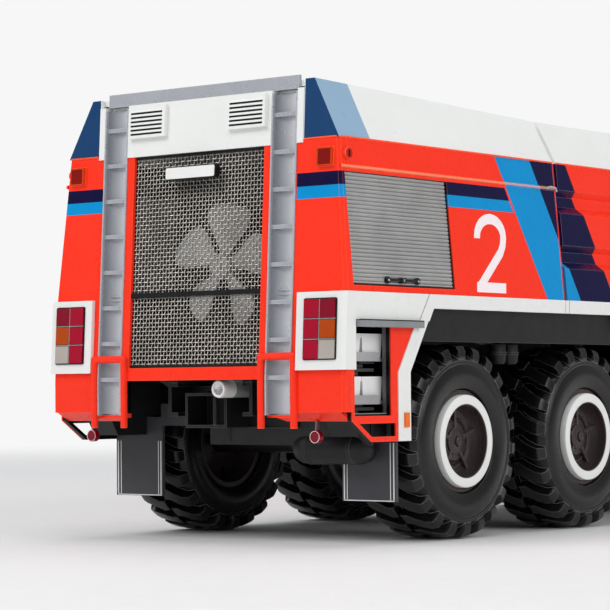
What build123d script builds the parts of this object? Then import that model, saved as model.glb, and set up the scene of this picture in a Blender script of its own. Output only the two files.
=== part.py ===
"""Airport fire truck, eight wheels, as a 1:24 plastic scale model.

Millimetres. X is the vehicle's right and Z is up. Places along the vehicle are stations: distances forward of
the rear face. Heights are from a datum just above the ground. When the model is written it is centred on its own
length and raised until the tyres stand on Z 0.
"""
import math
import os

from build123d import *

# Overall body
BODY_W = 62.5          # half width of the body below the waist
WAIST_Z = 79.0         # the side walls lean in above this height
ROOF_Z = 147.0         # roof edge at the tail
ROOF_FRONT_Z = ROOF_Z - 4.2            # roof edge from the module seam forward
EAVE_Z = ROOF_Z - 19.4                 # the side wall meets the sloping hip here
EAVE_W = BODY_W - 4.4                  # half width at the eave
HIP_SLOPE = 0.527      # inward lean of the hip, mm per mm of height
REAR_BEND_Z = 52.0     # the rear face is upright below this and leans forward above
REAR_LEAN = 0.054      # forward lean of the rear face, mm per mm of height
TAIL_Z = 41.3          # lower edge of the rear panel
SKIRT_Z = 31.8         # lower edge of the side skirts
WALL = 2.0             # body wall
TANK_WALL = 4.6        # thicker, grooved wall of the tank module
FIT = 0.3              # gap round whatever moves
SKIN = 0.8             # trim that stands on a panel
CUT_IN = BODY_W - 12.5                 # side cutters reach from here
CUT_OUT = BODY_W + 12.5                # to here
SPAN = BODY_W + 10.0                   # half width of a cutter right across the body
OVER_Z = ROOF_Z + 13.0                 # above everything on the roof

# Stations
SEAM_REAR = 127.3
SEAM_FRONT = 129.9
BODY_FRONT = 389.5
CAB_REAR = 392.0
CAB_FRONT = 486.0
BUMPER_DEPTH = 8.0
BUMPER_FRONT = CAB_FRONT + BUMPER_DEPTH

# Running gear
AXLE_Z = 31.0
TIP_R = 32.3           # tyre, out to the tips of the lugs
SIDEWALL_R = 27.0
BEAD_R = 17.0
TYRE_IN = 37.7         # inner face of the tyre, from the centreline
TYRE_OUT = 61.9
RIM_LIP_R = 15.4
RIM_EYE_R = 12.1
RIM_FACE = TYRE_OUT + 0.4
RIM_RING_T = 2.2
STUB_R = 2.0
KINGPIN_X = 42.0
KINGPIN_R = 1.2
HUB_FACE = 45.6        # inner end of the wheel's hub
DISC_IN = 50.0
DISC_T = 2.0
AXLE_STATIONS = (66.8, 143.0, 275.0, 351.0)
DRIVEN = AXLE_STATIONS[:2]
STEERED = AXLE_STATIONS[2:]
ARCH_TOP = 74.4
REAR_ARCH = (34.5, 175.3)
FRONT_ARCH = (237.0, 389.5)

# Frame
RAIL_IN = 14.0
RAIL_OUT = 18.0
RAIL_LOW = 40.0
RAIL_TOP = 51.0
FLANGE = 1.2
RAIL_REAR = 9.0
RAIL_FRONT = 478.0
BEAM_TOP = 56.0
FLOOR_Z = 66.0
FLOOR_T = 2.0

# Cab
CAB_LOW = 36.0
CAB_FLOOR_Z = RAIL_TOP
CAB_FLOOR_T = 2.0
CAB_WALL = 2.5
SCREEN_LOW = 86.0
SCREEN_TOP = 134.0
CAB_ROOF_Z = 140.0
CAB_ROOF_W = BODY_W - 5.5
DOOR = (405.0, 441.0, 43.0, 128.0)      # stations and heights of the door opening
DOOR_PANE = (410.0, 436.0, 91.0, 124.0)
SIDE_PANE = (447.0, 470.0, 88.0, 124.0)
SCREEN_W = BODY_W - 9.0
PANE_T = 1.0
PANE_SET = 0.7

# Rear end
GRILLE_W = 28.0
GRILLE_LOW = 56.0
GRILLE_TOP = EAVE_Z - 1.0
TOP_PANEL_Z = ROOF_Z - 2.8
LADDER_X = 36.25
LADDER_W = 5.25        # half width over the flanges
LADDER_LOW = 40.4
LADDER_TOP = TOP_PANEL_Z - 1.1
RUNG_FIRST = LADDER_LOW + 11.9
RUNG_PITCH = 12.0
FAN_Z = 89.6
FAN_STATION = 16.6
FAN_R = 20.7
RADIATOR = (24.0, 34.0)

BUMPER_MONITOR = (BUMPER_FRONT - 3.9, 61.0)
MONITOR_REACH = 12.0


def box(x0, x1, y0, y1, z0, z1):
    """A block between two corners."""
    size = Box(x1 - x0, y1 - y0, z1 - z0)
    return Pos((x0 + x1) / 2, (y0 + y1) / 2, (z0 + z1) / 2) * size


def along_x(outline, x0, x1):
    """A side-view outline of (station, height) points, drawn from x0 to x1."""
    face = Face(Wire.make_polygon([Vector(x0, y, z) for y, z in outline], close=True))
    return Solid.extrude(face, Vector(x1 - x0, 0, 0))


def along_y(outline, y0, y1):
    """An end-view outline of (x, height) points, drawn from station y0 to y1."""
    face = Face(Wire.make_polygon([Vector(x, y0, z) for x, z in outline], close=True))
    return Solid.extrude(face, Vector(0, y1 - y0, 0))


def rod_x(x0, x1, y, z, radius):
    return Pos((x0 + x1) / 2, y, z) * Rot(0, 90, 0) * Cylinder(radius, abs(x1 - x0))


def rod_y(x, y0, y1, z, radius):
    return Pos(x, (y0 + y1) / 2, z) * Rot(90, 0, 0) * Cylinder(radius, abs(y1 - y0))


def rod_z(x, y, z0, z1, radius):
    return Pos(x, y, (z0 + z1) / 2) * Cylinder(radius, z1 - z0)


def mirrored(shape):
    return mirror(shape, about=Plane.YZ)


def both(shape):
    """A piece and its mirror image on the other side."""
    return [shape, mirrored(shape)]


def rear_y(z, depth=0.0):
    """Station of the rear face at a height, moved forward by depth."""
    return depth + REAR_LEAN * max(0.0, z - REAR_BEND_Z)


def side_x(z, depth=0.0):
    """Half width of the body at a height, moved inward by depth."""
    lean = (BODY_W - EAVE_W) / (EAVE_Z - WAIST_Z)
    if z <= WAIST_Z:
        return BODY_W - depth
    if z <= EAVE_Z:
        return BODY_W - lean * (z - WAIST_Z) - depth
    return EAVE_W - HIP_SLOPE * (z - EAVE_Z) - depth


def rear_slab(near, far, low, high):
    """Side-view outline of a layer parallel to the rear face."""
    outline = [(rear_y(low, near), low), (rear_y(high, near), high)]
    outline += [(rear_y(high, far), high), (rear_y(low, far), low)]
    if low < REAR_BEND_Z < high:
        outline.insert(1, (near, REAR_BEND_Z))
        outline.append((far, REAR_BEND_Z))
        outline = [outline[0], outline[1], outline[2], outline[3], outline[5], outline[4]]
    return outline


def body_section(depth, low, high):
    """End view of the body between two heights, moved inward by depth."""
    heights = [low] + [z for z in (WAIST_Z, EAVE_Z) if low < z < high] + [high]
    right = [(side_x(z, depth), z) for z in heights]
    return right + [(-x, z) for x, z in reversed(right)]


def side_wall(depth, thick, low, high):
    """End view of one side wall, from depth to depth + thick."""
    heights = [low] + [z for z in (WAIST_Z, EAVE_Z) if low < z < high] + [high]
    outer = [(side_x(z, depth), z) for z in heights]
    return outer + [(side_x(z, depth + thick), z) for z in reversed(heights)]


def roof_line(depth):
    """Side view below the roof, moved down by depth, from the rear face to the cab."""
    low = WAIST_Z
    return [(rear_y(low, depth), low), (rear_y(ROOF_Z - depth, depth), ROOF_Z - depth),
            (SEAM_FRONT, ROOF_FRONT_Z - depth), (BODY_FRONT - depth, ROOF_FRONT_Z - depth),
            (BODY_FRONT - depth, low)]


def write(name, *shapes):
    solids = []
    for shape in shapes:
        solids += shape.solids()
    place = Location((0, -(rearmost() + FOREMOST) / 2, TIP_R - AXLE_Z))
    moved = [solid.moved(place) for solid in solids]
    whole = moved[0] if len(moved) == 1 else Compound(moved)
    export_step(whole, "parts/" + name + ".step")


# Chassis

def frame_rail():
    low, top = RAIL_LOW, RAIL_TOP
    outline = [(RAIL_IN, low), (RAIL_OUT, low), (RAIL_OUT, top), (RAIL_IN, top), (RAIL_IN, top - FLANGE),
               (RAIL_OUT - FLANGE, top - FLANGE), (RAIL_OUT - FLANGE, low + FLANGE), (RAIL_IN, low + FLANGE)]
    return along_y(outline, RAIL_REAR, RAIL_FRONT)


CROSS_STATIONS = (22.0, 46.0, 94.0, 170.0, 228.0, 313.0, 385.0, 420.0, 470.0)
CROSS_HALF = 2.0


def crossmember(station):
    web = RAIL_OUT - FLANGE
    low, top = RAIL_LOW + FLANGE, RAIL_TOP - FLANGE
    whole = box(-web, web, station - CROSS_HALF, station + CROSS_HALF, low, top)
    return whole - box(-web + 6, web - 6, station - CROSS_HALF, station + CROSS_HALF - 1.2, low + 1.5, top - 1.5)


BEARER_STATIONS = (105.0, 205.0, 313.0, 381.0)


FLOOR_W = BODY_W - 3.5
ENGINE = (40.0, 92.0)
ENGINE_W = 13.5
ARCH_PANEL_Z = AXLE_Z + TIP_R + 0.5
WELL_LOW = AXLE_Z + 5.5
REAR_WELL = (27.0, 38.0, 172.0)
FRONT_WELL = (20.4, 240.0, 384.0)
WELL_T = 1.2


def subframe():
    """Long beams on the frame rails, bearers, the floor in four panels, and the dark panels of the wheel wells."""
    beam = box(RAIL_IN, RAIL_OUT, RAIL_REAR, BODY_FRONT - 4, RAIL_TOP, BEAM_TOP)
    pieces = both(beam)
    for station in BEARER_STATIONS:
        pieces.append(box(-RAIL_OUT - 2, RAIL_OUT + 2, station - 3, station + 3, BEAM_TOP, FLOOR_Z))
    top = FLOOR_Z + FLOOR_T
    rear, front = RADIATOR[1] + 2, BODY_FRONT - TANK_WALL
    hole_w, hole_rear, hole_front = ENGINE_W + 1, ENGINE[0] - 1, ENGINE[1] + 1
    pieces.append(box(-FLOOR_W, FLOOR_W, rear, hole_rear, FLOOR_Z, top))
    pieces.append(box(-FLOOR_W, FLOOR_W, hole_front, front, FLOOR_Z, top))
    pieces += both(box(hole_w, FLOOR_W, hole_rear, hole_front, FLOOR_Z, top))
    pieces += both(box(FLOOR_W, BODY_W - WALL, rear, front, ARCH_PANEL_Z, ARCH_TOP))
    for inner, well_rear, well_front in (REAR_WELL, FRONT_WELL):
        pieces += both(box(inner, inner + WELL_T, well_rear, well_front, WELL_LOW, FLOOR_Z))
    return pieces


SPRING_HALF = 29.0
SPRING_T = 3.0
AXLE_R = 4.5


def leaf_spring(station):
    """A leaf pack under the rail: its middle rests on the axle and its ends reach the rail."""
    seat = AXLE_Z + AXLE_R
    end = RAIL_LOW - SPRING_T
    low = [(station - SPRING_HALF, end), (station, seat), (station + SPRING_HALF, end)]
    top = [(y, z + SPRING_T) for y, z in reversed(low)]
    bow = ThreePointArc(*[Vector(RAIL_IN, y, z) for y, z in low])
    crown = ThreePointArc(*[Vector(RAIL_IN, y, z) for y, z in top])
    right = Line(Vector(RAIL_IN, low[2][0], low[2][1]), Vector(RAIL_IN, top[0][0], top[0][1]))
    left = Line(Vector(RAIL_IN, top[2][0], top[2][1]), Vector(RAIL_IN, low[0][0], low[0][1]))
    face = Face(Wire([bow.edge(), right.edge(), crown.edge(), left.edge()]))
    return Solid.extrude(face, Vector(RAIL_OUT - RAIL_IN, 0, 0))


DIFF_R = 8.8
NOSE = 12.0


def axle_beam(station, reach):
    tube = rod_x(-reach, reach, station, AXLE_Z, AXLE_R)
    ball = Pos(1.5, station, AXLE_Z) * Sphere(DIFF_R)
    nose = rod_y(0, station - NOSE, station + NOSE, AXLE_Z, 3.4)
    return tube + ball + nose


def rear_axle(station):
    """A beam with its differential and a stub that enters each wheel's hub."""
    reach = HUB_FACE - FIT
    stub = rod_x(-DISC_IN + FIT, DISC_IN - FIT, station, AXLE_Z, STUB_R)
    return axle_beam(station, reach) + stub


FORK_OUT = KINGPIN_X + 2.2
FORK_GAP = 4.0
FORK_T = 2.0
FORK_HALF = 3.0


def front_axle(station):
    """A beam with a fork at each end for the kingpin."""
    root = KINGPIN_X - 5.5
    shape = axle_beam(station, root)
    for side in (-1, 1):
        near, far = sorted((side * (root - 2.5), side * root))
        shape += box(near, far, station - FORK_HALF, station + FORK_HALF,
                     AXLE_Z - FORK_GAP - FORK_T, AXLE_Z + FORK_GAP + FORK_T)
        near, far = sorted((side * root, side * FORK_OUT))
        for low in (AXLE_Z - FORK_GAP - FORK_T, AXLE_Z + FORK_GAP):
            shape += box(near, far, station - FORK_HALF, station + FORK_HALF, low, low + FORK_T)
        shape -= rod_z(side * KINGPIN_X, station, AXLE_Z - 8, AXLE_Z + 8, KINGPIN_R + 0.1)
    return shape


def knuckle(side, station):
    """A block on a kingpin, with the stub that carries the wheel."""
    half = FORK_GAP - FIT
    near, far = sorted((side * (KINGPIN_X - 2.2), side * (HUB_FACE - FIT)))
    shape = box(near, far, station - 2.6, station + 2.6, AXLE_Z - half, AXLE_Z + half)
    shape += rod_z(side * KINGPIN_X, station, AXLE_Z - FORK_GAP - FORK_T, AXLE_Z + FORK_GAP + FORK_T, KINGPIN_R)
    near, far = sorted((side * KINGPIN_X, side * (DISC_IN - FIT)))
    return shape + rod_x(near, far, station, AXLE_Z, STUB_R)


def spin(outline, side, station):
    """Turn an outline of (distance from centreline, radius) points about a wheel's axis."""
    points = [Vector(side * x, station, AXLE_Z + r) for x, r in outline]
    face = Face(Wire.make_polygon(points, close=True))
    return Solid.revolve(face, 360, Axis((0, station, AXLE_Z), (1, 0, 0)))


LUGS = 17              # on each half of the tread
MIDDLE_GROOVE = 1.6
GROOVE_R = 29.4
LUG_SLOPE = 2.0
LUG_INSET = 0.6
GROOVE_SET = 1.4
BEAD_SET = 2.2


def tyre(side, station):
    """Tyre of flat facets, with a row of lugs on each half of the tread. One lug is flat on the ground."""
    sectors = 2 * LUGS
    half = math.pi / sectors
    middle = (TYRE_IN + TYRE_OUT) / 2

    def point(x, radius, step):
        angle = (2 * step - 1) * half - math.pi / 2
        reach = radius / math.cos(half)
        return Vector(side * x, station + reach * math.cos(angle), AXLE_Z + reach * math.sin(angle))

    def facet(first, second, step):
        corners = [point(*first, step), point(*second, step), point(*second, step + 1), point(*first, step + 1)]
        return Face(Wire.make_polygon(corners, close=True))

    inner_bead, outer_bead = (TYRE_IN + BEAD_SET, BEAD_R), (TYRE_OUT - BEAD_SET, BEAD_R)
    wall = (TYRE_OUT, SIDEWALL_R)
    rows = [(wall, (TYRE_OUT - LUG_SLOPE, TIP_R), (TYRE_OUT - GROOVE_SET, GROOVE_R), middle + MIDDLE_GROOVE / 2),
            (inner_bead, (TYRE_IN + LUG_INSET, TIP_R), (TYRE_IN + GROOVE_SET, GROOVE_R), middle - MIDDLE_GROOVE / 2)]
    faces = []
    for step in range(sectors):
        roots = [(row[3], GROOVE_R) for row in rows]
        faces += [facet(inner_bead, outer_bead, step), facet(outer_bead, wall, step), facet(*roots, step)]
        for row, (start, lug, groove, end) in enumerate(rows):
            tip, root = (end, TIP_R), (end, GROOVE_R)
            if (step + row) % 2 == 0:
                faces += [facet(start, lug, step), facet(lug, tip, step), facet(tip, root, step)]
            else:
                faces += [facet(start, groove, step), facet(groove, root, step)]
            flank = [point(*place, step) for place in (start, lug, tip, root, groove)]
            faces.append(Face(Wire.make_polygon(flank, close=True)))
    return Solid(Shell(faces))


def rim(side, station):
    """A deep wheel: barrel, proud outer ring, recessed disc, and a hub with a blind bore."""
    inner, outer = TYRE_IN + 2.2, RIM_FACE - RIM_RING_T
    radius = BEAD_R - 0.1
    hub_end = outer - 2.5
    outline = [(inner, RIM_LIP_R), (inner, radius), (outer, radius), (outer, RIM_LIP_R), (RIM_FACE, RIM_LIP_R),
               (RIM_FACE, RIM_EYE_R), (outer, RIM_EYE_R), (DISC_IN + DISC_T, RIM_EYE_R - 1.5),
               (DISC_IN + DISC_T, 6.2), (hub_end, 5.2), (hub_end, 0), (DISC_IN, 0), (DISC_IN, STUB_R + 0.1),
               (HUB_FACE, STUB_R + 0.1), (HUB_FACE, 5.2), (DISC_IN, 5.6), (DISC_IN, RIM_LIP_R)]
    return spin(outline, side, station)


SHAFT_R = 2.0


def engine():
    """The engine as one plain block on the cross members."""
    return box(-ENGINE_W, ENGINE_W, ENGINE[0], ENGINE[1], RAIL_TOP - FLANGE, 105)


def drive_shafts():
    ends = list(zip(AXLE_STATIONS[:-1], AXLE_STATIONS[1:]))
    return [rod_y(0, rear + NOSE, front - NOSE, AXLE_Z, SHAFT_R) for rear, front in ends]


def radiator():
    """Radiator block on the beams, with the boss that carries the fan."""
    shape = box(-27, 27, RADIATOR[0], RADIATOR[1], BEAM_TOP, GRILLE_TOP - 3)
    return shape + rod_y(0, FAN_STATION + 5, RADIATOR[0], FAN_Z, 4)


FAN_BLADES = 5
FAN_FIRST = 10.0
FAN_PITCH = 24.0
HUB_R = 4.5


def fan():
    """A hub with broad, pitched blades and a shaft that enters the boss."""
    hub = rod_y(0, FAN_STATION - 3, FAN_STATION + 4.6, FAN_Z, HUB_R)
    outline = [(HUB_R - 2.5, -2.6), (HUB_R + 4, -5.4), (FAN_R - 4, -6.4), (FAN_R - 0.8, -3.0),
               (FAN_R - 0.2, 2.0), (FAN_R - 4, 5.4), (HUB_R + 4, 4.6), (HUB_R - 2.5, 2.6)]
    for blade in range(FAN_BLADES):
        turn = FAN_FIRST + blade * 360 / FAN_BLADES
        plate = Face(Wire.make_polygon([Vector(x, -0.5, z) for x, z in outline], close=True))
        plate = Solid.extrude(plate, Vector(0, 1.0, 0))
        plate = Rot(0, -turn, 0) * Rot(FAN_PITCH, 0, 0) * plate
        hub += Pos(0, FAN_STATION, FAN_Z) * plate
    return hub


# Rear end

TOW_W = 8.85
TOW = (7.0, 36.2, 47.6)
TOW_WALL = 0.9


def tow_box():
    """Open coupling box on the rear face of the first cross member."""
    rear, low, top = TOW
    front = CROSS_STATIONS[0] - CROSS_HALF
    shape = box(-TOW_W, TOW_W, rear, front, low, top)
    return shape - box(-TOW_W + TOW_WALL, TOW_W - TOW_WALL, rear, front - 3, low + TOW_WALL, top - TOW_WALL)


def corner_cut(size, low, high, out=0.0, back=0.0):
    """Wedge that takes off the upright corner between the rear face and the right side."""
    heights = [low] + [z for z in (REAR_BEND_Z, WAIST_Z) if low < z < high] + [high]
    sections = []
    for z in heights:
        x, y = side_x(z) + out, rear_y(z) - back
        points = [Vector(x - size, y, z), Vector(x + 2, y - 2, z), Vector(x, y + size, z)]
        sections.append(Face(Wire.make_polygon(points, close=True)))
    return loft(sections, ruled=True)


CHANNEL_SET = 3.2      # the ladder's back plate ends this far behind the rear face
CHANNEL_T = 0.8


def channel_shell(low, high, sill=0.0):
    """Trough in the rear panels that takes the right ladder, with its side walls, its back and a sill."""
    inner, outer = LADDER_X - LADDER_W, LADDER_X + LADDER_W
    trough = along_x(rear_slab(WALL - 0.2, CHANNEL_SET + CHANNEL_T, low - sill, high),
                     inner - CHANNEL_T, outer + CHANNEL_T)
    return trough - channel_cut(low, high)


def channel_cut(low, high):
    return along_x(rear_slab(-3, CHANNEL_SET, low, high), LADDER_X - LADDER_W, LADDER_X + LADDER_W)


FRAME_W = LADDER_X - LADDER_W
CROSS_Z = GRILLE_LOW - 4.2
FOLD_DROP = 2.9
FOLD_REACH = 5.4
FOLD_NOTCH = 4.2


def rear_end():
    """The red rear moulding with its corners, ladder troughs, the grille opening and the bumper bar."""
    shell = along_y(body_section(0, TAIL_Z, EAVE_Z), -1, 12)
    shell = shell & along_x(rear_slab(0, 4, TAIL_Z, EAVE_Z), -SPAN, SPAN)
    shell -= along_y(body_section(WALL, TAIL_Z, EAVE_Z), -1, 12) & along_x(rear_slab(WALL, 5, TAIL_Z, EAVE_Z),
                                                                          -SPAN, SPAN)
    shell -= box(-GRILLE_W, GRILLE_W, -3, 14, GRILLE_LOW, EAVE_Z + 1)
    shell -= box(-FRAME_W, FRAME_W, -3, 14, TAIL_Z - 1, CROSS_Z)
    shell -= box(-TOP_W, TOP_W, -3, 14, GRILLE_TOP, EAVE_Z + 1)
    low = TAIL_Z - FOLD_DROP
    fold = [(0, TAIL_Z), (FOLD_REACH, low), (FOLD_REACH, low + 1.3), (WALL, TAIL_Z + 0.4), (0, TAIL_Z + 1)]
    fold = along_x(fold, FRAME_W, BODY_W - WALL)
    corner = [(FRAME_W - 1, low - 1), (FRAME_W + FOLD_NOTCH, low - 1), (FRAME_W + FOLD_NOTCH, low),
              (FRAME_W + 0.6, low + 1.8), (FRAME_W - 1, low + 1.8)]
    fold -= along_y(corner, -1, FOLD_REACH + 1)
    shell += [fold, mirrored(fold)]
    trough = channel_shell(LADDER_LOW, GRILLE_TOP, CHANNEL_T)
    shell += [trough, mirrored(trough)]
    cuts = (corner_cut(CORNER, TAIL_Z - 1, EAVE_Z), opening(SHUTTER), opening(LOCKER),
            channel_cut(LADDER_LOW, EAVE_Z + 1))
    for cut in cuts:
        shell -= [cut, mirrored(cut)]
    return shell


CORNER = 1.0
MESH_COLS = 13
MESH_ROWS = 16
MESH_BAR = 1.0
MESH_T = 0.8
MESH_DEPTH = 0.9


def rear_grille():
    """Open grille in the rear frame: a grid of bars with square holes, and a split bar across."""
    z0, z1 = GRILLE_LOW, GRILLE_TOP
    plate = along_x(rear_slab(MESH_DEPTH, MESH_DEPTH + MESH_T, z0, z1), -GRILLE_W, GRILLE_W)
    step_x = (2 * GRILLE_W - MESH_BAR) / MESH_COLS
    step_z = (z1 - z0 - MESH_BAR) / MESH_ROWS
    holes = []
    for col in range(MESH_COLS):
        for row in range(MESH_ROWS):
            x = -GRILLE_W + MESH_BAR + col * step_x
            z = z0 + MESH_BAR + row * step_z
            holes.append(box(x, x + step_x - MESH_BAR, -1, 9, z, z + step_z - MESH_BAR))
    plate = plate - holes
    bar = along_x(rear_slab(0.1, MESH_DEPTH + MESH_T, 79, 81), -GRILLE_W, GRILLE_W)
    return plate + bar


TOP_W = 44.0
LOUVRE = (13.3, 29.5, ROOF_Z - 14.3, ROOF_Z - 3.7)
LOUVRE_PROUD = 2.0
LOUVRE_FRAME = 1.4
LOUVRE_SLOTS = 6
LOUVRE_FIRST = LOUVRE[2] + 0.8
LOUVRE_PITCH = 1.4


def rear_top_panel():
    """White panel over the grille with two louvred vents and the upper ends of the ladder troughs."""
    panel = along_x(rear_slab(-0.4, WALL, GRILLE_TOP, TOP_PANEL_Z), -TOP_W, TOP_W)
    inner, outer, low_z, high_z = LOUVRE
    for side in (-1, 1):
        near, far = sorted((side * inner, side * outer))
        panel += along_x(rear_slab(-LOUVRE_PROUD, 0, low_z, high_z), near, far)
        near, far = sorted((side * (inner + LOUVRE_FRAME), side * (outer - LOUVRE_FRAME)))
        for slot in range(LOUVRE_SLOTS):
            low = LOUVRE_FIRST + slot * LOUVRE_PITCH
            panel -= along_x([(rear_y(low, -3), low), (rear_y(low, 0), low + 0.9), (rear_y(low, 0), low + 1.1),
                              (rear_y(low, -3), low + 0.7)], near, far)
    trough = channel_shell(GRILLE_TOP, TOP_PANEL_Z)
    cut = channel_cut(GRILLE_TOP - 1, TOP_PANEL_Z + 1)
    return panel + [trough, mirrored(trough)] - [cut, mirrored(cut)]


FLANGE_T = 0.55
FLANGE_PROUD = 0.5
PLATE_SET = 2.4
RUNG_SET = 0.5
RUNG_HALF = 0.65
LADDER_JOINT = 0.4


def ladder():
    """Channel ladder in its trough: a back plate, two flanges and rungs."""
    inner, outer = LADDER_X - LADDER_W, LADDER_X + LADDER_W
    shape = along_x(rear_slab(PLATE_SET, CHANNEL_SET, LADDER_LOW, LADDER_TOP), inner, outer)
    for near, far in ((inner, inner + FLANGE_T), (outer - FLANGE_T, outer)):
        shape += along_x(rear_slab(-FLANGE_PROUD, PLATE_SET, LADDER_LOW, LADDER_TOP), near, far)
    for rung in range(int((LADDER_TOP - RUNG_FIRST) / RUNG_PITCH) + 1):
        z = RUNG_FIRST + rung * RUNG_PITCH
        shape += along_x([(rear_y(z, RUNG_SET), z - RUNG_HALF), (rear_y(z, PLATE_SET + 0.1), z - RUNG_HALF),
                          (rear_y(z, PLATE_SET + 0.1), z + RUNG_HALF), (rear_y(z, RUNG_SET), z + RUNG_HALF)],
                         inner, outer)
    return shape


def roof_edge_board():
    """Board that closes the roof's rear edge above the top panel."""
    return along_x(rear_slab(0.6, WALL, TOP_PANEL_Z, ROOF_Z + 1.6), -TOP_W + 3, TOP_W - 3)


GUARD = (29.45, 42.75, 36.2, 59.0)     # centre lines of the legs, foot, and centre of the top
GUARD_R = 1.2
GUARD_SET = -0.4


def ladder_guard():
    """Half-round hoop on the rear panel round the foot of the ladder."""
    inner, outer, low, top = GUARD
    y = GUARD_SET
    shape = rod_z(inner, y, low, top, GUARD_R) + rod_z(outer, y, low, top, GUARD_R)
    shape += rod_x(inner, outer, y, top, GUARD_R)
    for x in (inner, outer):
        shape += Pos(x, y, top) * Sphere(GUARD_R)
    shape -= along_x(rear_slab(0, 9, low - 1, top + 3), inner - 3, outer + 3)
    return shape - along_x(rear_slab(-FLANGE_PROUD, 9, LADDER_LOW, top + 3), FRAME_W, LADDER_X + LADDER_W)


LAMP_PANEL = (TOP_W, BODY_W + SKIN, 54.5, WAIST_Z)
LAMP_PROUD = 1.4
LAMP_RETURN = 5.2


def lamp_panel():
    """White panel that carries the tail lamps, folded round the corner."""
    inner, outer, low, top = LAMP_PANEL
    shape = along_x(rear_slab(-LAMP_PROUD, 0, low, top), inner, outer)
    shape += along_x([(rear_y(low, -LAMP_PROUD), low), (rear_y(top, -LAMP_PROUD), top), (LAMP_RETURN, top),
                      (LAMP_RETURN, low)], BODY_W, outer)
    return shape - corner_cut(CORNER, low - 1, top, SKIN, LAMP_PROUD)


LENS_COLS = ((47.5, 53.4), (53.9, 59.8))
LENS_ROWS = ((58.0, 63.8), (64.4, 70.2), (70.8, 76.6))
LENS_T = 0.8
MARKER = (50.2, 56.3, EAVE_Z - 9.0, EAVE_Z - 3.2)
REFLECTOR = (48.0, 5.4, 33.5, 2.0)
SIDE_MARKER = (30.7, 33.1, 36.2, 40.8)
CAP_LAMP = (7.1, EAVE_Z - 5.2, 1.6)
WORK_LAMP = (9.2, 3.0, 48.85, 2.87)
EDGING = 0.4
EDGING_W = 6.6


def lens_set():
    """Lenses, markers and the hanging reflector of the right side."""
    solids = []
    for x0, x1 in LENS_COLS:
        for z0, z1 in LENS_ROWS:
            solids.append(along_x(rear_slab(-LAMP_PROUD - LENS_T, -LAMP_PROUD, z0, z1), x0, x1))
    x0, x1, z0, z1 = MARKER
    solids.append(along_x(rear_slab(-1.25, 0, z0, z1), x0, x1))
    solids.append(box(BODY_W + EDGING, BODY_W + EDGING + 0.6, *SIDE_MARKER))
    y, z, radius = CAP_LAMP
    solids.append(rod_x(side_x(z) - 0.5, side_x(z) + 1.3, y, z, radius) & along_y(
        side_wall(-3, 3, z - 3, z + 3), y - 3, y + 3))
    x, y, z, radius = REFLECTOR
    stalk = box(x - 0.6, x + 0.6, y - 1.0, y, z, TAIL_Z - 2.9)
    solids.append(rod_y(x, y - 2, y, z, radius) + stalk)
    return solids


def work_lamp():
    """Round lamp on the first cross member."""
    x, rear, z, radius = WORK_LAMP
    front = CROSS_STATIONS[0] - CROSS_HALF
    return rod_y(x, rear, front, z, radius) - box(-TOW_W, TOW_W, TOW[0] - 5, front + 1, TOW[1], TOW[2])


def rearmost():
    """Station of the faces of the lowest tail lenses."""
    return rear_y(LENS_ROWS[0][0], -LAMP_PROUD - LENS_T)


FOREMOST = BUMPER_MONITOR[0] + MONITOR_REACH
MUDFLAP = (38.9, 60.4, 12.3, 39.5, 29.4)


def mudflap(station):
    """A flap with the bracket that ties it to the frame rail."""
    inner, outer, low, top, _ = MUDFLAP
    flap = box(inner, outer, station, station + 1.2, low, top)
    return flap + box(RAIL_OUT, inner + 0.7, station, station + 1.2, top - 3, top + 4.5)


def number_plate():
    """Blank plate on a bracket that stands off the grille."""
    proud = 4.0
    low, high = GRILLE_TOP - 9.2, GRILLE_TOP - 4.7
    plate = along_x(rear_slab(-proud, -proud + 0.8, low, high), -10.8, 10.8)
    return plate + along_x(rear_slab(-proud + 0.8, MESH_DEPTH, low + 1.2, high - 1.3), -6, 6)


# Rear module sides and roof

LOCKER = (5.2, 24.5, 40.0, 70.2)
SHUTTER = (5.5, 61.0, WAIST_Z + 2.0, EAVE_Z - 10.9)
MID_SHUTTER = (182.0, 231.0, 39.0, 72.0)


ARCH_BEND = 53.8
ARCH_SHOULDER = 12.8


def arch_edge(z):
    """Station of the rear arch's rear edge at a height."""
    return REAR_ARCH[0] + ARCH_SHOULDER * max(0.0, z - ARCH_BEND) / (ARCH_TOP - ARCH_BEND)


def arch(rear, front):
    """Wheel arch with sloping shoulders, cut through the right side wall."""
    low = SKIRT_Z - 5
    outline = [(rear, low), (rear, ARCH_BEND), (rear + ARCH_SHOULDER, ARCH_TOP), (front - ARCH_SHOULDER, ARCH_TOP),
               (front, ARCH_BEND), (front, low)]
    return along_x(outline, CUT_IN, CUT_OUT)


def opening(outline, inner=CUT_IN):
    s0, s1, z0, z1 = outline
    return box(inner, CUT_OUT, s0, s1, z0, z1)


GUTTER_Z = EAVE_Z - 9.3


def gutter(front, rear):
    """Small ridge along the wall above the shutter."""
    z = GUTTER_Z
    x = side_x(z)
    return along_y([(x - 0.6, z - 1.0), (x + 0.8, z - 0.2), (x + 0.7, z + 0.4), (x - 0.6, z + 1.0)], rear, front)


SKIRT_SLOT = ((7.6, 37.6), (26.8, 37.6), (26.8, 33.4), (14.0, 33.4))


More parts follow.
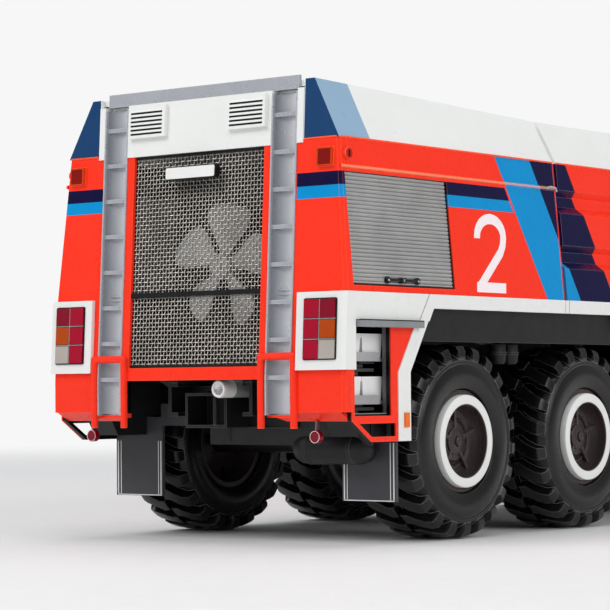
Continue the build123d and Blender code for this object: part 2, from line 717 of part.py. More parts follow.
def rear_side():
    """Right side wall of the rear module with its arch, locker and shutter openings."""
    wall = along_y(side_wall(0, WALL, SKIRT_Z, EAVE_Z), 0, SEAM_REAR)
    wall -= along_x(rear_slab(-8, 4, SKIRT_Z - 1, EAVE_Z + 1), CUT_IN, CUT_OUT)
    wall -= along_x([(-2, 42.6), (-2, 20), (40, 20), (40, SKIRT_Z), (14.2, SKIRT_Z)], CUT_IN, CUT_OUT)
    wall -= arch(*REAR_ARCH)
    wall -= opening(LOCKER)
    wall -= opening(SHUTTER)
    start = rear_y(GUTTER_Z, 4)
    outside = side_wall(-3, 3, GUTTER_Z - 2, GUTTER_Z + 2)
    wall += gutter(SEAM_REAR, start)
    wall += gutter(start + 1, rear_y(GUTTER_Z, 0.3)) & along_y(outside, -2, start + 2)
    outer = BODY_W + SKIN
    cover_low = LOCKER[3]
    band = along_x([(39.4, cover_low), (45.2, WAIST_Z), (SEAM_REAR, WAIST_Z), (SEAM_REAR, ARCH_TOP),
                    (arch_edge(ARCH_TOP), ARCH_TOP), (arch_edge(cover_low), cover_low)], BODY_W, outer)
    cover = along_x([(LAMP_RETURN, cover_low), (38.8, cover_low), (44.6, WAIST_Z), (LAMP_RETURN, WAIST_Z)],
                    BODY_W, outer)
    ledge_low, ledge_end = LEDGE[2], LEDGE[1]
    strip = [(arch_edge(z), z) for z in (SKIRT_Z, ARCH_BEND, cover_low)]
    strip += [(ledge_end, cover_low), (ledge_end, ledge_low)]
    strip += [(arch_edge(z) - EDGING_W, z) for z in (ledge_low, ARCH_BEND, SKIRT_Z)]
    edging = along_x(strip, BODY_W, BODY_W + EDGING)
    slot = along_x(SKIRT_SLOT, CUT_IN, CUT_OUT)
    return wall + band + cover + edging - slot


def rear_roof():
    """White hip roof of the rear module, hollow below."""
    high = ROOF_Z + 4
    outer = along_y(body_section(0, EAVE_Z, high), -2, SEAM_REAR) & along_x(roof_line(0), -SPAN, SPAN)
    inner = along_y(body_section(WALL, EAVE_Z - 1, high), -2, SEAM_REAR) & along_x(roof_line(WALL), -SPAN, SPAN)
    shape = outer - inner
    return shape - along_x(rear_slab(-3, WALL, EAVE_Z - 1, ROOF_Z + 1), -TOP_W, TOP_W)


def tank_wall_section():
    """End view of the right wall of the tank module with its two long grooves."""
    upper_z, lower_z = EAVE_Z - 17.6, WAIST_Z + 11.3
    grooves = [[z + rise for rise in (8.2, 6.0, 2.4, 0.0)] for z in (upper_z, lower_z)]
    depth = 2.4
    outer = [(side_x(EAVE_Z), EAVE_Z)]
    for top, upper, lower, low in grooves:
        outer += [(side_x(top), top), (side_x(upper, depth), upper), (side_x(lower, depth), lower),
                  (side_x(low), low)]
    outer += [(BODY_W, WAIST_Z), (BODY_W, SKIRT_Z)]
    inner = [(BODY_W - WALL, SKIRT_Z), (BODY_W - WALL, ARCH_TOP), (BODY_W - TANK_WALL, WAIST_Z + 5),
             (side_x(EAVE_Z, TANK_WALL), EAVE_Z)]
    return outer + inner


def tank_side():
    """Right side wall of the tank module, with the seam strip at its rear edge."""
    wall = along_y(tank_wall_section(), SEAM_FRONT, BODY_FRONT)
    wall += along_y(side_wall(1.2, WALL, ARCH_TOP, EAVE_Z), SEAM_REAR, SEAM_FRONT)
    wall -= arch(*REAR_ARCH)
    wall -= arch(*FRONT_ARCH)
    wall -= opening(MID_SHUTTER)
    return wall + box(BODY_W, BODY_W + SKIN, SEAM_FRONT, BODY_FRONT, ARCH_TOP, WAIST_Z)


def tank_roof():
    """White hip roof of the tank module, with its front wall."""
    high = ROOF_Z + 4
    outer = along_y(body_section(0, EAVE_Z, high), SEAM_FRONT, BODY_FRONT) & along_x(roof_line(0), -SPAN, SPAN)
    inner = along_y(body_section(WALL, EAVE_Z - 1, high), SEAM_FRONT, BODY_FRONT) & along_x(roof_line(WALL),
                                                                                          -SPAN, SPAN)
    set_in = 1.2
    strip = along_y(body_section(set_in, EAVE_Z, high), SEAM_REAR, SEAM_FRONT) & along_x(roof_line(set_in),
                                                                                       -SPAN, SPAN)
    strip -= along_y(body_section(set_in + WALL, EAVE_Z - 1, high), SEAM_REAR - 1, SEAM_FRONT) & along_x(
        roof_line(set_in + WALL), -SPAN, SPAN)
    shape = (outer - inner) + strip
    edge = side_x(EAVE_Z, TANK_WALL)
    return shape + box(-edge, edge, BODY_FRONT - WALL, BODY_FRONT, FLOOR_Z + FLOOR_T, EAVE_Z)


SLATS = 28
SLAT_DEPTH = 0.5


def shutter(outline, slats):
    """Roller shutter of long slats, in a side-wall opening."""
    s0, s1, z0, z1 = outline
    pitch = (z1 - z0) / slats
    front = []
    for slat in range(slats):
        low = z0 + slat * pitch
        front += [(side_x(low, SLAT_DEPTH + 0.35), low), (side_x(low, SLAT_DEPTH), low + 0.25 * pitch),
                  (side_x(low, SLAT_DEPTH), low + 0.8 * pitch)]
    front.append((side_x(z1, SLAT_DEPTH + 0.35), z1))
    back = [(side_x(z1, WALL), z1), (side_x(z0, WALL), z0)]
    return along_y(front + back, s0, s1)


LOCKER_DEPTH = 17.5
LOCKER_BAY = (3.1, 33.0)
SHELF_Z = (57.2, 43.6)
SHELF_T = 1.2
LIP = (57.8, 59.0, 22.8, 2.9)
POST = (58.9, 26.6, 1.2)
SHEET = 0.8
STEP_WELL = (46.0, 57.0, 10.5, 29.0, 33.4)


def locker_shelves():
    """Locker lining on the right: back and end walls, two shelves with lips, and the round post."""
    z0, z1 = LOCKER[2], LOCKER[3] + SHEET
    rear, front = LOCKER_BAY
    outer, inner = BODY_W - WALL, BODY_W - WALL - LOCKER_DEPTH
    foot = SHELF_Z[1] + SHELF_T
    shape = box(inner, inner + SHEET, rear, front, foot - SHELF_T, z1)
    shape += box(inner, inner + SHEET, rear + 3, front, z0, foot)
    shape += box(inner, outer, rear, rear + SHEET, foot - SHELF_T, z1)
    shape += box(inner, outer, rear + 3, rear + 3 + SHEET, z0, foot)
    shape += box(inner, outer, front - SHEET, front, z0, z1)
    shape += box(inner, outer, rear, front, z1 - SHEET, z1)
    shape += box(inner, outer, rear + 3, front, z0, z0 + SHEET)
    lip_in, lip_out, lip_end, lip_high = LIP
    for z in SHELF_Z:
        shape += box(inner, lip_in, rear, front, z, z + SHELF_T)
        shape += box(lip_in, lip_out, rear, lip_end, z, z + lip_high)
    shape += rod_z(POST[0], POST[1], z0, z1, POST[2])
    well_in, well_out, well_rear, well_front, low = STEP_WELL
    well = along_x([(well_rear, z0), (well_front, z0), (well_front, low), (well_rear + 4, low)], well_in, well_out)
    return shape + well


CANISTER_STATIONS = (9.9, 21.3)
CANISTER_X = (47.0, 57.4)
CANISTER_HIGH = 7.6


def canisters():
    """White tapered canisters with lids, two on each shelf."""
    solids = []
    for z in SHELF_Z:
        base = z + SHELF_T
        rim_z = base + CANISTER_HIGH - 1.4
        for station in CANISTER_STATIONS:
            body = [(station - 5.2, base), (station + 4.4, base), (station + 5.2, rim_z), (station + 5.6, rim_z),
                    (station + 5.6, base + CANISTER_HIGH), (station - 5.6, base + CANISTER_HIGH),
                    (station - 5.6, rim_z), (station - 5.2, rim_z)]
            solids.append(along_x(body, *CANISTER_X))
    return solids


LEDGE = (5.4, 39.5, 67.9, 69.9)


def locker_ledge():
    """Aluminium ledge along the top of the open locker."""
    return box(BODY_W, BODY_W + 2.5, *LEDGE)


# Cab

def cab_solid(inset, low):
    """The cab's outer shape moved inward by inset on all walls, open at its underside."""
    lean = (BODY_W - CAB_ROOF_W) / (CAB_ROOF_Z - SCREEN_LOW)
    top = CAB_ROOF_Z - inset
    right = [(BODY_W - inset, low), (BODY_W - inset, SCREEN_LOW),
             (BODY_W - inset - lean * (top - SCREEN_LOW), top)]
    section = right + [(-x, z) for x, z in reversed(right)]
    back = CAB_REAR + inset
    front = CAB_FRONT - inset
    side = [(back, low), (front, low), (front, SCREEN_LOW), (front - 15.0, SCREEN_TOP), (front - 22.0, top),
            (back, top)]
    return along_y(section, CAB_REAR, CAB_FRONT) & along_x(side, -SPAN, SPAN)


def cab_shell():
    return cab_solid(0, CAB_LOW) - cab_solid(CAB_WALL, CAB_LOW - 1)


def screen_cutter():
    return box(-SCREEN_W, SCREEN_W, CAB_FRONT - 31, CAB_FRONT + 14, SCREEN_LOW + 2, SCREEN_TOP - 2)


PANE_REACH = BODY_W - 22.5
NOSE_DEPTH = 10.0


def pane_cutters():
    """Openings for the fixed panes: the windscreen and the front side panes."""
    side = opening(SIDE_PANE, PANE_REACH)
    return [screen_cutter(), side, mirrored(side)]


def cab_front_region():
    joint = CAB_FRONT - NOSE_DEPTH
    far = CAB_FRONT + 14
    return along_x([(joint, SKIRT_Z - 12), (far, SKIRT_Z - 12), (far, OVER_Z), (joint - 10.3, OVER_Z),
                    (joint - 15, SCREEN_TOP), (joint, SCREEN_LOW)], -SPAN, SPAN)


HINGE_Z = (50.0, 78.0)
HINGE_HIGH = 5.0
HINGE_R = 0.9


def cab_panels():
    """Split the hollow cab at its panel joints."""
    shell = cab_shell() - pane_cutters()
    door = opening(DOOR, PANE_REACH)
    shell -= [door, mirrored(door)]
    below = SKIRT_Z - 12
    arch_cut = along_x([(CAB_REAR - 2, below), (CAB_REAR - 2, 46), (CAB_REAR + 8, CAB_LOW), (CAB_REAR + 10, below)],
                       -SPAN, SPAN)
    shell -= arch_cut
    shell -= box(-RAIL_OUT - 1, RAIL_OUT + 1, CAB_REAR - 1, CAB_FRONT + 1, below, CAB_FLOOR_Z)
    for low in HINGE_Z:
        notch = rod_z(BODY_W, DOOR[1], low - FIT, low + HINGE_HIGH + FIT, HINGE_R + FIT)
        shell -= [notch, mirrored(notch)]
    rear_zone = box(-SPAN, SPAN, CAB_REAR, CAB_REAR + CAB_WALL, below, OVER_Z)
    roof_zone = box(-SPAN, SPAN, CAB_REAR + CAB_WALL, CAB_FRONT + 14, SCREEN_TOP, OVER_Z)
    front_zone = cab_front_region() - roof_zone
    rear = shell & rear_zone
    roof = shell & roof_zone
    front = shell & front_zone
    sides = shell - rear_zone - roof_zone - front_zone
    return front, sides, rear, roof


def cab_glass():
    layer = cab_solid(PANE_SET, CAB_LOW) - cab_solid(PANE_SET + PANE_T, CAB_LOW - 1)
    return [layer & cutter for cutter in pane_cutters()]


def cab_door():
    """Right door with its window opening and hinge barrels, a running gap inside the frame."""
    s0, s1, z0, z1 = DOOR
    leaf = cab_shell() & box(PANE_REACH, CUT_OUT, s0 + 2 * FIT, s1 - FIT, z0 + FIT, z1 - FIT)
    leaf -= opening(DOOR_PANE, PANE_REACH)
    for low in HINGE_Z:
        leaf += rod_z(BODY_W, s1, low, low + HINGE_HIGH, HINGE_R)
    handle = box(BODY_W, BODY_W + 1.0, s0 + 3, s0 + 8, 82, 83.4)
    return leaf + handle


SEATS = ((-32.0, 428.0), (0.0, 428.0), (32.0, 428.0), (-32.0, 402.0), (32.0, 402.0))


def cab_interior():
    """Floor on the frame rails, seats, dash and the steering wheel."""
    edge = BODY_W - CAB_WALL
    top = CAB_FLOOR_Z + CAB_FLOOR_T
    joint = CAB_FRONT - NOSE_DEPTH
    shape = box(-edge, edge, CAB_REAR + CAB_WALL, joint, CAB_FLOOR_Z, top)
    for x, station in SEATS:
        shape += box(x - 9, x + 9, station, station + 17, top, top + 14)
        shape += along_x([(station - 5, top + 10), (station + 1, top + 10), (station - 1, top + 42),
                          (station - 5, top + 42)], x - 9, x + 9)
    shape += along_x([(462, top), (joint, top), (joint, 84), (joint - 10, 84), (459, 78)], -50, 50)
    wheel = Pos(-32, 456, 80) * Rot(65, 0, 0) * (Cylinder(8.5, 1.2) - Cylinder(7.3, 1.2))
    spoke = Pos(-32, 456, 80) * Rot(65, 0, 0) * (Box(15.4, 1.6, 1.0) + Box(1.6, 15.4, 1.0))
    column = along_x([(455, 80.6), (456.4, 79.6), (463, 74), (463, 77)], -33, -31)
    return shape + wheel + spoke + column


def front_bumper():
    """Bumper across the nose, with its hangers from the frame rails and the monitor's pedestal."""
    bar = along_x([(CAB_FRONT, 38), (BUMPER_FRONT - 2, 38), (BUMPER_FRONT, 42), (BUMPER_FRONT, 56),
                   (CAB_FRONT, 58)], -BODY_W, BODY_W)
    bar -= box(-20, 20, BUMPER_FRONT - 2, BUMPER_FRONT + 1, 44, 52)
    for side in (-1, 1):
        near, far = sorted((side * RAIL_IN, side * RAIL_OUT))
        bar += box(near, far, RAIL_FRONT, CAB_FRONT, RAIL_LOW, RAIL_TOP)
    y, z = BUMPER_MONITOR
    return bar + rod_z(0, y, 55, z, 3.8)


ROOF_MONITOR = (0.0, 425.0)


def roof_turret():
    """Swivelling body of the roof monitor with its fork."""
    x, y = ROOF_MONITOR
    base = CAB_ROOF_Z + FIT
    shape = rod_z(x, y, base, base + 4, 9.0) + rod_z(x, y, base + 4, base + 7, 6.0)
    for side in (-1, 1):
        near, far = sorted((side * 3.9, side * 6.0))
        shape += box(near, far, y - 3.5, y + 3.5, base + 6, base + 16)
    return shape - rod_x(-8, 8, y, base + 13, 1.3)


def roof_barrel():
    """Tilting barrel of the roof monitor on its cross pin."""
    x, y = ROOF_MONITOR
    z = CAB_ROOF_Z + FIT + 13
    shape = rod_x(-6, 6, y, z, 1.2) + rod_y(0, y - 5, y + 40, z, 2.6) + rod_y(0, y + 40, y + 48, z, 3.6)
    return shape - rod_y(0, y + 41, y + 49, z, 2.4)


def bumper_monitor():
    """Swivelling bumper monitor on its pedestal."""
    y, z = BUMPER_MONITOR
    base = z + FIT
    shape = rod_z(0, y, base, base + 9, 3.6)
    barrel = rod_y(0, y, y + MONITOR_REACH, base + 6, 2.0)
    return shape + barrel + rod_y(0, y + MONITOR_REACH - 5, y + MONITOR_REACH, base + 6, 2.7)


def mirror_set():
    """Mirror head and arm at the front corner of the cab."""
    arm = box(BODY_W, BODY_W + 8, 480, 481.4, 82, 84)
    arm += box(BODY_W + 5, BODY_W + 7, 480, 481.4, 84, 122)
    head = box(BODY_W + 2, BODY_W + 12, 478, 482, 92, 116)
    return arm + head


def front_lamp_set():
    """Headlamps of one side on the front panel, and the beacon over them on the cab roof."""
    solids = []
    for x in (42.0, 52.0):
        solids.append(rod_y(x, CAB_FRONT, CAB_FRONT + 1.6, 68, 4.2))
    solids.append(rod_z(44, 455, CAB_ROOF_Z, CAB_ROOF_Z + 7, 4.0))
    return solids


def main():
    os.makedirs("parts", exist_ok=True)
    write("frame_rails", *both(frame_rail()))
    write("crossmembers", *[crossmember(station) for station in CROSS_STATIONS])
    write("subframe", *subframe())
    springs = []
    for station in AXLE_STATIONS:
        springs += both(leaf_spring(station))
    write("springs", *springs)
    rear = [rear_axle(station) for station in DRIVEN]
    front = [front_axle(station) for station in STEERED]
    write("axles", *rear, *front)
    write("engine_block", engine())
    write("drive_shafts", *drive_shafts())
    write("radiator", radiator())
    write("cooling_fan", fan())
    for label, side in (("left", -1), ("right", 1)):
        for number, station in enumerate(AXLE_STATIONS, 1):
            write("tyre_%s_%d" % (label, number), tyre(side, station))
            write("rim_%s_%d" % (label, number), rim(side, station))
            if station in STEERED:
                write("knuckle_%s_%d" % (label, number), knuckle(side, station))
    write("tow_box", tow_box())
    write("rear_end", rear_end())
    write("rear_grille", rear_grille())
    write("rear_top_panel", rear_top_panel())
    write("ladders", *both(ladder()), roof_edge_board())
    write("ladder_guards", *both(ladder_guard()))
    write("lamp_panels", *both(lamp_panel()))
    lenses = []
    for lens in lens_set():
        lenses += both(lens)
    write("rear_lamps", *lenses, work_lamp())
    flaps = both(mudflap(MUDFLAP[4]))
    write("mudflaps", *flaps)
    write("number_plate", number_plate())
    write("rear_sides", *both(rear_side()))
    write("rear_roof", rear_roof())
    write("tank_sides", *both(tank_side()))
    write("tank_roof", tank_roof())
    blinds = [shutter(SHUTTER, SLATS), shutter(MID_SHUTTER, 24), locker_ledge()]
    write("shutters", *blinds, *[mirrored(blind) for blind in blinds])
    write("locker_shelves", *both(locker_shelves()))
    cans = []
    for can in canisters():
        cans += both(can)
    write("canisters", *cans)
    front, sides, rear, roof = cab_panels()
    write("cab_front", front)
    write("cab_sides", sides)
    write("cab_rear", rear)
    write("cab_roof", roof)
    write("cab_glass", *cab_glass())
    right_door = cab_door()
    write("cab_door_right", right_door)
    write("cab_door_left", mirrored(right_door))
    write("cab_interior", cab_interior())
    write("front_bumper", front_bumper())
    write("roof_monitor_turret", roof_turret())
    write("roof_monitor_barrel", roof_barrel())
    write("bumper_monitor", bumper_monitor())
    write("mirrors", *both(mirror_set()))
    lamps = []
    for lamp in front_lamp_set():
        lamps += both(lamp)
    write("front_lamps", *lamps)


main()
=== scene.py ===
"""Finish, lights and camera for the airport fire truck model.

Pieces are drawn in millimetres in the vehicle's own places: x to its right, stations forward of the rear
face, and heights above a datum that the tyres reach below. They become metres in the frame when made.
"""
import math

import bmesh
import bpy
from mathutils import Matrix, Vector


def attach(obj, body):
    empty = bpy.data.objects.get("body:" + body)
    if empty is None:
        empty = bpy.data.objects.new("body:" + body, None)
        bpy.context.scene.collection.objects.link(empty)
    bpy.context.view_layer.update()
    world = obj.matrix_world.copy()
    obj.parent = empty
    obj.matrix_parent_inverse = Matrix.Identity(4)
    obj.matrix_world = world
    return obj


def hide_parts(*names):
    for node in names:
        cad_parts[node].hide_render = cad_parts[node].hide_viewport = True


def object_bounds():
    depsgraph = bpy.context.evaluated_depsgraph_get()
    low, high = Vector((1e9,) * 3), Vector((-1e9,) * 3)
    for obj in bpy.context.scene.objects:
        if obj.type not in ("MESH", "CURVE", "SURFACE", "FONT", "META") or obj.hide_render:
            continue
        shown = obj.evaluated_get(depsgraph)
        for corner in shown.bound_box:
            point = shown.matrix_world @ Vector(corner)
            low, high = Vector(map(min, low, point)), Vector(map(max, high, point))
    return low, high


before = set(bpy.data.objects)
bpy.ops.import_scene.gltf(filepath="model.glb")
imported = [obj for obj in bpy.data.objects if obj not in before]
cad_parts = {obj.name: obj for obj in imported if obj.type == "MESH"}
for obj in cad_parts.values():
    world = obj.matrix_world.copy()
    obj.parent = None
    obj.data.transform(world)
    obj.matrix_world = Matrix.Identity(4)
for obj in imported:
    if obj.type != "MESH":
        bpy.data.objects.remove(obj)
CAD_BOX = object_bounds()

MM = 0.001
LIFT = 1.3  # the tyres reach this far below the datum
REARMOST = -1.876  # station of the rearmost point, on the hoops
MIDDLE = -CAD_BOX[0].y / MM + REARMOST  # station of the frame's origin

# Shape of the body, as in the model
WAIST_Z = 79.0
BAND_Z = 74.4  # foot of the white waist band
EAVE_Z = 127.6
BODY_W = 62.5  # half width below the waist
EAVE_W = 58.1
BODY_LEAN = (BODY_W - EAVE_W) / (EAVE_Z - WAIST_Z)
ROOF_TOP = 142.8
REAR_BEND_Z = 52.0  # the rear face stands upright below this
REAR_LEAN = 0.054
GRILLE_W = 28.0
GRILLE_Z = (56.0, 126.6)
LADDER = (31.0, 41.5)  # inner and outer x of a ladder's channel
AXLES = (66.8, 143.0, 275.0, 351.0)
WHEEL_Z = 31.0
WHEEL_X = 49.8
SEAM = (127.3, 129.9)  # stations of the joint between rear and tank module
CAB_FRONT = 486.0
BUMPER_FRONT = CAB_FRONT + 8.0
SCREEN_FOOT = 86.0
SCREEN_LEAN = 15.0 / 48.0
CAB_LEAN = (62.5 - 57.0) / (140.0 - 86.0)

# Paint and plastic, as linear colours
# The second colour of the red, sky and navy pairs is a painted highlight for edges.
RED, RED_HIGHLIGHT = (0.97, 0.037, 0.014), (1.0, 0.23, 0.07)
SKY, SKY_HIGHLIGHT = (0.0, 0.27, 0.61), (0.30, 0.62, 0.90)
NAVY, NAVY_HIGHLIGHT = (0.003, 0.0015, 0.040), (0.42, 0.44, 0.70)
WHITE = (0.80, 0.81, 0.79)
# The lighter blue is a painted reflection on the roof's corners.
TAIL_BLUE, BLUE_REFLECTION = (0.0, 0.042, 0.14), (0.27, 0.41, 0.56)
# Painted highlight for the gutter ridge.
GUTTER_HIGHLIGHT = (1.0, 0.42, 0.22)
SEAM_PINK, SEAM_RUST = (0.55, 0.35, 0.36), (0.50, 0.26, 0.24)
# The lighter silver is a painted highlight for edges.
SILVER, SILVER_HIGHLIGHT = (0.42, 0.43, 0.47), (0.72, 0.73, 0.77)
# The lighter and darker slat greys are a painted highlight and the slat joint darkened as painted shade.
SLAT_GREY, SLAT_HIGHLIGHT, SLAT_JOINT_SHADE = (0.33, 0.33, 0.325), (0.44, 0.44, 0.43), (0.27, 0.27, 0.27)
# The darker of these two is painted shade for faces inside the walls.
BLACK, INSIDE_SHADE = (0.006, 0.006, 0.007), (0.004, 0.004, 0.004)
CRIMSON, DARK_RED = (0.36, 0.002, 0.022), (0.22, 0.003, 0.018)
AMBER, CLEAR_GREY = (0.42, 0.058, 0.003), (0.42, 0.38, 0.34)
RED_PAINT = {"rough": 0.28, "coat": 0.05, "drift": 0.02, "specular": 0.14}
WHITE_PAINT = {"rough": 0.32, "coat": 0.1, "drift": 0.015}
SMOOTH_SKIN = 0.003
FAR = 1000.0  # the open end of a range


def place(x, station, z):
    return Vector((x * MM, (station - MIDDLE) * MM, (z + LIFT) * MM))


def rear_y(z, depth=0.0):
    """Station of the leaning rear face at a height, moved forward by depth."""
    return depth + REAR_LEAN * max(0.0, z - REAR_BEND_Z)


def side_x(z, out=0.0):
    """Half width of the body at a height up to the eave."""
    return BODY_W - BODY_LEAN * max(0.0, z - WAIST_Z) + out


def screen_y(z, out=0.0):
    """Station of the leaning windscreen at a height."""
    return CAB_FRONT + out - SCREEN_LEAN * max(0.0, z - SCREEN_FOOT)


def cab_x(z, out=0.0):
    """Half width of the cab at a height."""
    return BODY_W + out - CAB_LEAN * max(0.0, z - SCREEN_FOOT)


# Node graphs

class Graph:
    """A material's nodes, with the place on the vehicle as x, station and z in millimetres."""

    def __init__(self, name, colour):
        self.colour = colour
        self.material = bpy.data.materials.new(name)
        self.material.use_nodes = True
        self.tree = self.material.node_tree
        self.shader = self.tree.nodes["Principled BSDF"]
        self.texture = self.node("ShaderNodeTexCoord").outputs["Object"]
        split = self.node("ShaderNodeSeparateXYZ")
        self.link(self.texture, split.inputs[0])
        self.x = self.math("MULTIPLY", split.outputs["X"], 1 / MM)
        self.station = self.math("MULTIPLY_ADD", split.outputs["Y"], 1 / MM, MIDDLE)
        self.z = self.math("MULTIPLY_ADD", split.outputs["Z"], 1 / MM, -LIFT)
        self.width = self.math("ABSOLUTE", self.x)

    def node(self, kind):
        return self.tree.nodes.new(kind)

    def link(self, source, target):
        self.tree.links.new(source, target)

    def feed(self, value, target):
        if isinstance(value, bpy.types.NodeSocket):
            self.link(value, target)
        else:
            target.default_value = value

    def math(self, operation, *values):
        node = self.node("ShaderNodeMath")
        node.operation = operation
        for value, target in zip(values, node.inputs):
            self.feed(value, target)
        return node.outputs[0]

    def vector(self, operation, first, second, target):
        node = self.node("ShaderNodeVectorMath")
        node.operation = operation
        self.feed(first, node.inputs[0])
        self.link(second, node.inputs[target])
        return node

    def above(self, value, limit):
        return self.math("GREATER_THAN", value, limit)

    def below(self, value, limit):
        return self.math("LESS_THAN", value, limit)

    def both(self, *masks):
        result = masks[0]
        for mask in masks[1:]:
            result = self.math("MULTIPLY", result, mask)
        return result

    def between(self, value, low, high):
        return self.both(self.above(value, low), self.below(value, high))

    def mix(self, mask, first, second):
        node = self.node("ShaderNodeMix")
        node.data_type = "RGBA"
        self.feed(mask, node.inputs["Factor"])
        for value, target in ((first, node.inputs["A"]), (second, node.inputs["B"])):
            self.feed(value if isinstance(value, bpy.types.NodeSocket) else (*value, 1.0), target)
        return node.outputs["Result"]

    def paint(self, colour, *masks, **ranges):
        """Lay a colour over the material's colour where all masks hold and each named measure is in range."""
        masks += tuple(self.between(getattr(self, name), *ends) for name, ends in ranges.items())
        self.colour = self.mix(self.both(*masks), self.colour, colour)

    def highlight(self, colour, radius, share):
        """Lay part of a colour over the edges as a painted highlight."""
        self.paint(colour, self.edges(radius), share)

    def wall_depth(self):
        """How far inside the side wall's outer face a point is."""
        rise = self.math("MAXIMUM", self.math("SUBTRACT", self.z, WAIST_Z), 0.0)
        outer = self.math("MULTIPLY_ADD", rise, -BODY_LEAN, BODY_W)
        return self.math("SUBTRACT", outer, self.width)

    def tail_depth(self):
        """How far forward of the rear face a point is."""
        rise = self.math("MAXIMUM", self.math("SUBTRACT", self.z, REAR_BEND_Z), 0.0)
        return self.math("MULTIPLY_ADD", rise, -REAR_LEAN, self.station)

    def edges(self, radius, low=0.86, high=0.99):
        """Mask along the edges, from how far a rounded normal turns from the true one."""
        rounded = self.node("ShaderNodeBevel")
        rounded.samples = 4
        rounded.inputs["Radius"].default_value = radius * MM
        true = self.node("ShaderNodeNewGeometry").outputs["Normal"]
        dot = self.vector("DOT_PRODUCT", rounded.outputs[0], true, 1)
        return self.spread(dot.outputs["Value"], low, high, 1.0, 0.0)

    def noise(self, size, detail=3.0):
        """Smooth noise whose patches are about size millimetres across."""
        node = self.node("ShaderNodeTexNoise")
        node.inputs["Scale"].default_value = 1 / (size * MM)
        node.inputs["Detail"].default_value = detail
        self.link(self.texture, node.inputs["Vector"])
        return node.outputs["Fac"]

    def spread(self, value, *ends, smooth=False):
        """Map one range to another, or to nought and one: low, high, out_low, out_high."""
        node = self.node("ShaderNodeMapRange")
        if smooth:
            node.interpolation_type = "SMOOTHERSTEP"
        for number, target in zip(ends, list(node.inputs)[1:5]):
            target.default_value = number
        self.link(value, node.inputs[0])
        return node.outputs[0]

    def drift(self, size, detail, low, high):
        """Noise that wanders between low and high."""
        return self.spread(self.noise(size, detail), 0.3, 0.7, low, high)

    def bump(self, height, strength, depth):
        node = self.node("ShaderNodeBump")
        node.inputs["Strength"].default_value = strength
        node.inputs["Distance"].default_value = depth * MM
        self.link(height, node.inputs["Height"])
        self.link(node.outputs[0], self.shader.inputs["Normal"])


def finish(graph, rough=0.35, metallic=0.0, coat=0.0, drift=0.04, grain=0.6, dimple=0.006, specular=0.28):
    """Moulded or painted plastic: slow colour drift, uneven gloss and a fine skin."""
    shader = graph.shader
    shade = graph.drift(14.0, 3.0, 1 - drift, 1 + drift)
    tinted = graph.vector("SCALE", graph.colour, shade, "Scale")
    graph.link(tinted.outputs[0], shader.inputs["Base Color"])
    graph.link(graph.drift(5.0, 5.0, rough * 0.85, min(1.0, rough * 1.2)), shader.inputs["Roughness"])
    shader.inputs["Metallic"].default_value = metallic
    shader.inputs["Coat Weight"].default_value = coat
    shader.inputs["Coat Roughness"].default_value = 0.12
    shader.inputs["Specular IOR Level"].default_value = specular
    graph.bump(graph.noise(grain, 4.0), 0.5, dimple)
    return graph.material


def plastic(name, colour, **how):
    return finish(Graph(name, colour), **how)


def edged(name, colour, light, radius=0.4, **how):
    """Plain plastic with a painted highlight along its edges."""
    graph = Graph(name, colour)
    graph.paint(light, graph.edges(radius))
    return finish(graph, **how)


# Livery

STRIPE_Z = (108.5, 112.5, 116.8)
SWEEP = (90.9, 0.536, 21.8, 23.4)  # station at the eave, slope, widths of the light and the navy band
SWEEP_TOP = 127.5


def diagonal(graph, colour, sky=SKY, navy=NAVY):
    """The diagonal's two bands over a colour, and how far forward of its rear edge a point is."""
    start, slope, light, dark = SWEEP
    edge = graph.math("MULTIPLY_ADD", graph.z, -slope, start + slope * SWEEP_TOP)
    offset = graph.math("SUBTRACT", graph.station, edge)
    colour = graph.mix(graph.between(offset, 0, light), colour, sky)
    return graph.mix(graph.between(offset, light, light + dark), colour, navy), offset


def level_stripes(graph, where):
    low, mid, high = STRIPE_Z
    graph.paint(SKY, where, z=(low, mid))
    graph.paint(NAVY, where, z=(mid, high))


def body_livery():
    """Red sides with the level stripes, the diagonal sweep and white on whatever stands proud of the wall,
    with painted highlights on the edges and the gutter ridge and painted shade on faces inside the wall.
    """
    graph = Graph("livery_sides", RED)
    graph.colour, offset = diagonal(graph, RED)
    level_stripes(graph, graph.below(offset, -1.1))
    graph.paint(RED, station=SEAM)
    depth = graph.wall_depth()
    # Painted highlight along the gutter ridge where it stands proud of the wall.
    graph.paint(GUTTER_HIGHLIGHT, graph.below(depth, -0.3), 0.55, z=(117.2, 119.4))
    # Painted highlight on the edges, in the lighter colour of each band.
    lit, _ = diagonal(graph, RED_HIGHLIGHT, SKY_HIGHLIGHT, NAVY_HIGHLIGHT)
    graph.highlight(lit, 0.35, 0.4)
    # Near-black painted shade on faces inside the wall, behind the rear module's skin and low in the tank
    # module.
    graph.paint(INSIDE_SHADE, graph.above(depth, 0.55), station=(-FAR, SEAM[0]))
    graph.paint(INSIDE_SHADE, graph.above(depth, 0.9), station=(SEAM[1], FAR), z=(-FAR, 88.0))
    proud = {"width": (BODY_W + 0.03, FAR), "z": (-FAR, WAIST_Z + 0.1)}
    graph.paint(WHITE, **proud)
    graph.paint(SEAM_PINK, station=(SEAM[0] - 0.35, SEAM[0]), **proud)
    return finish(graph, dimple=SMOOTH_SKIN, **RED_PAINT)


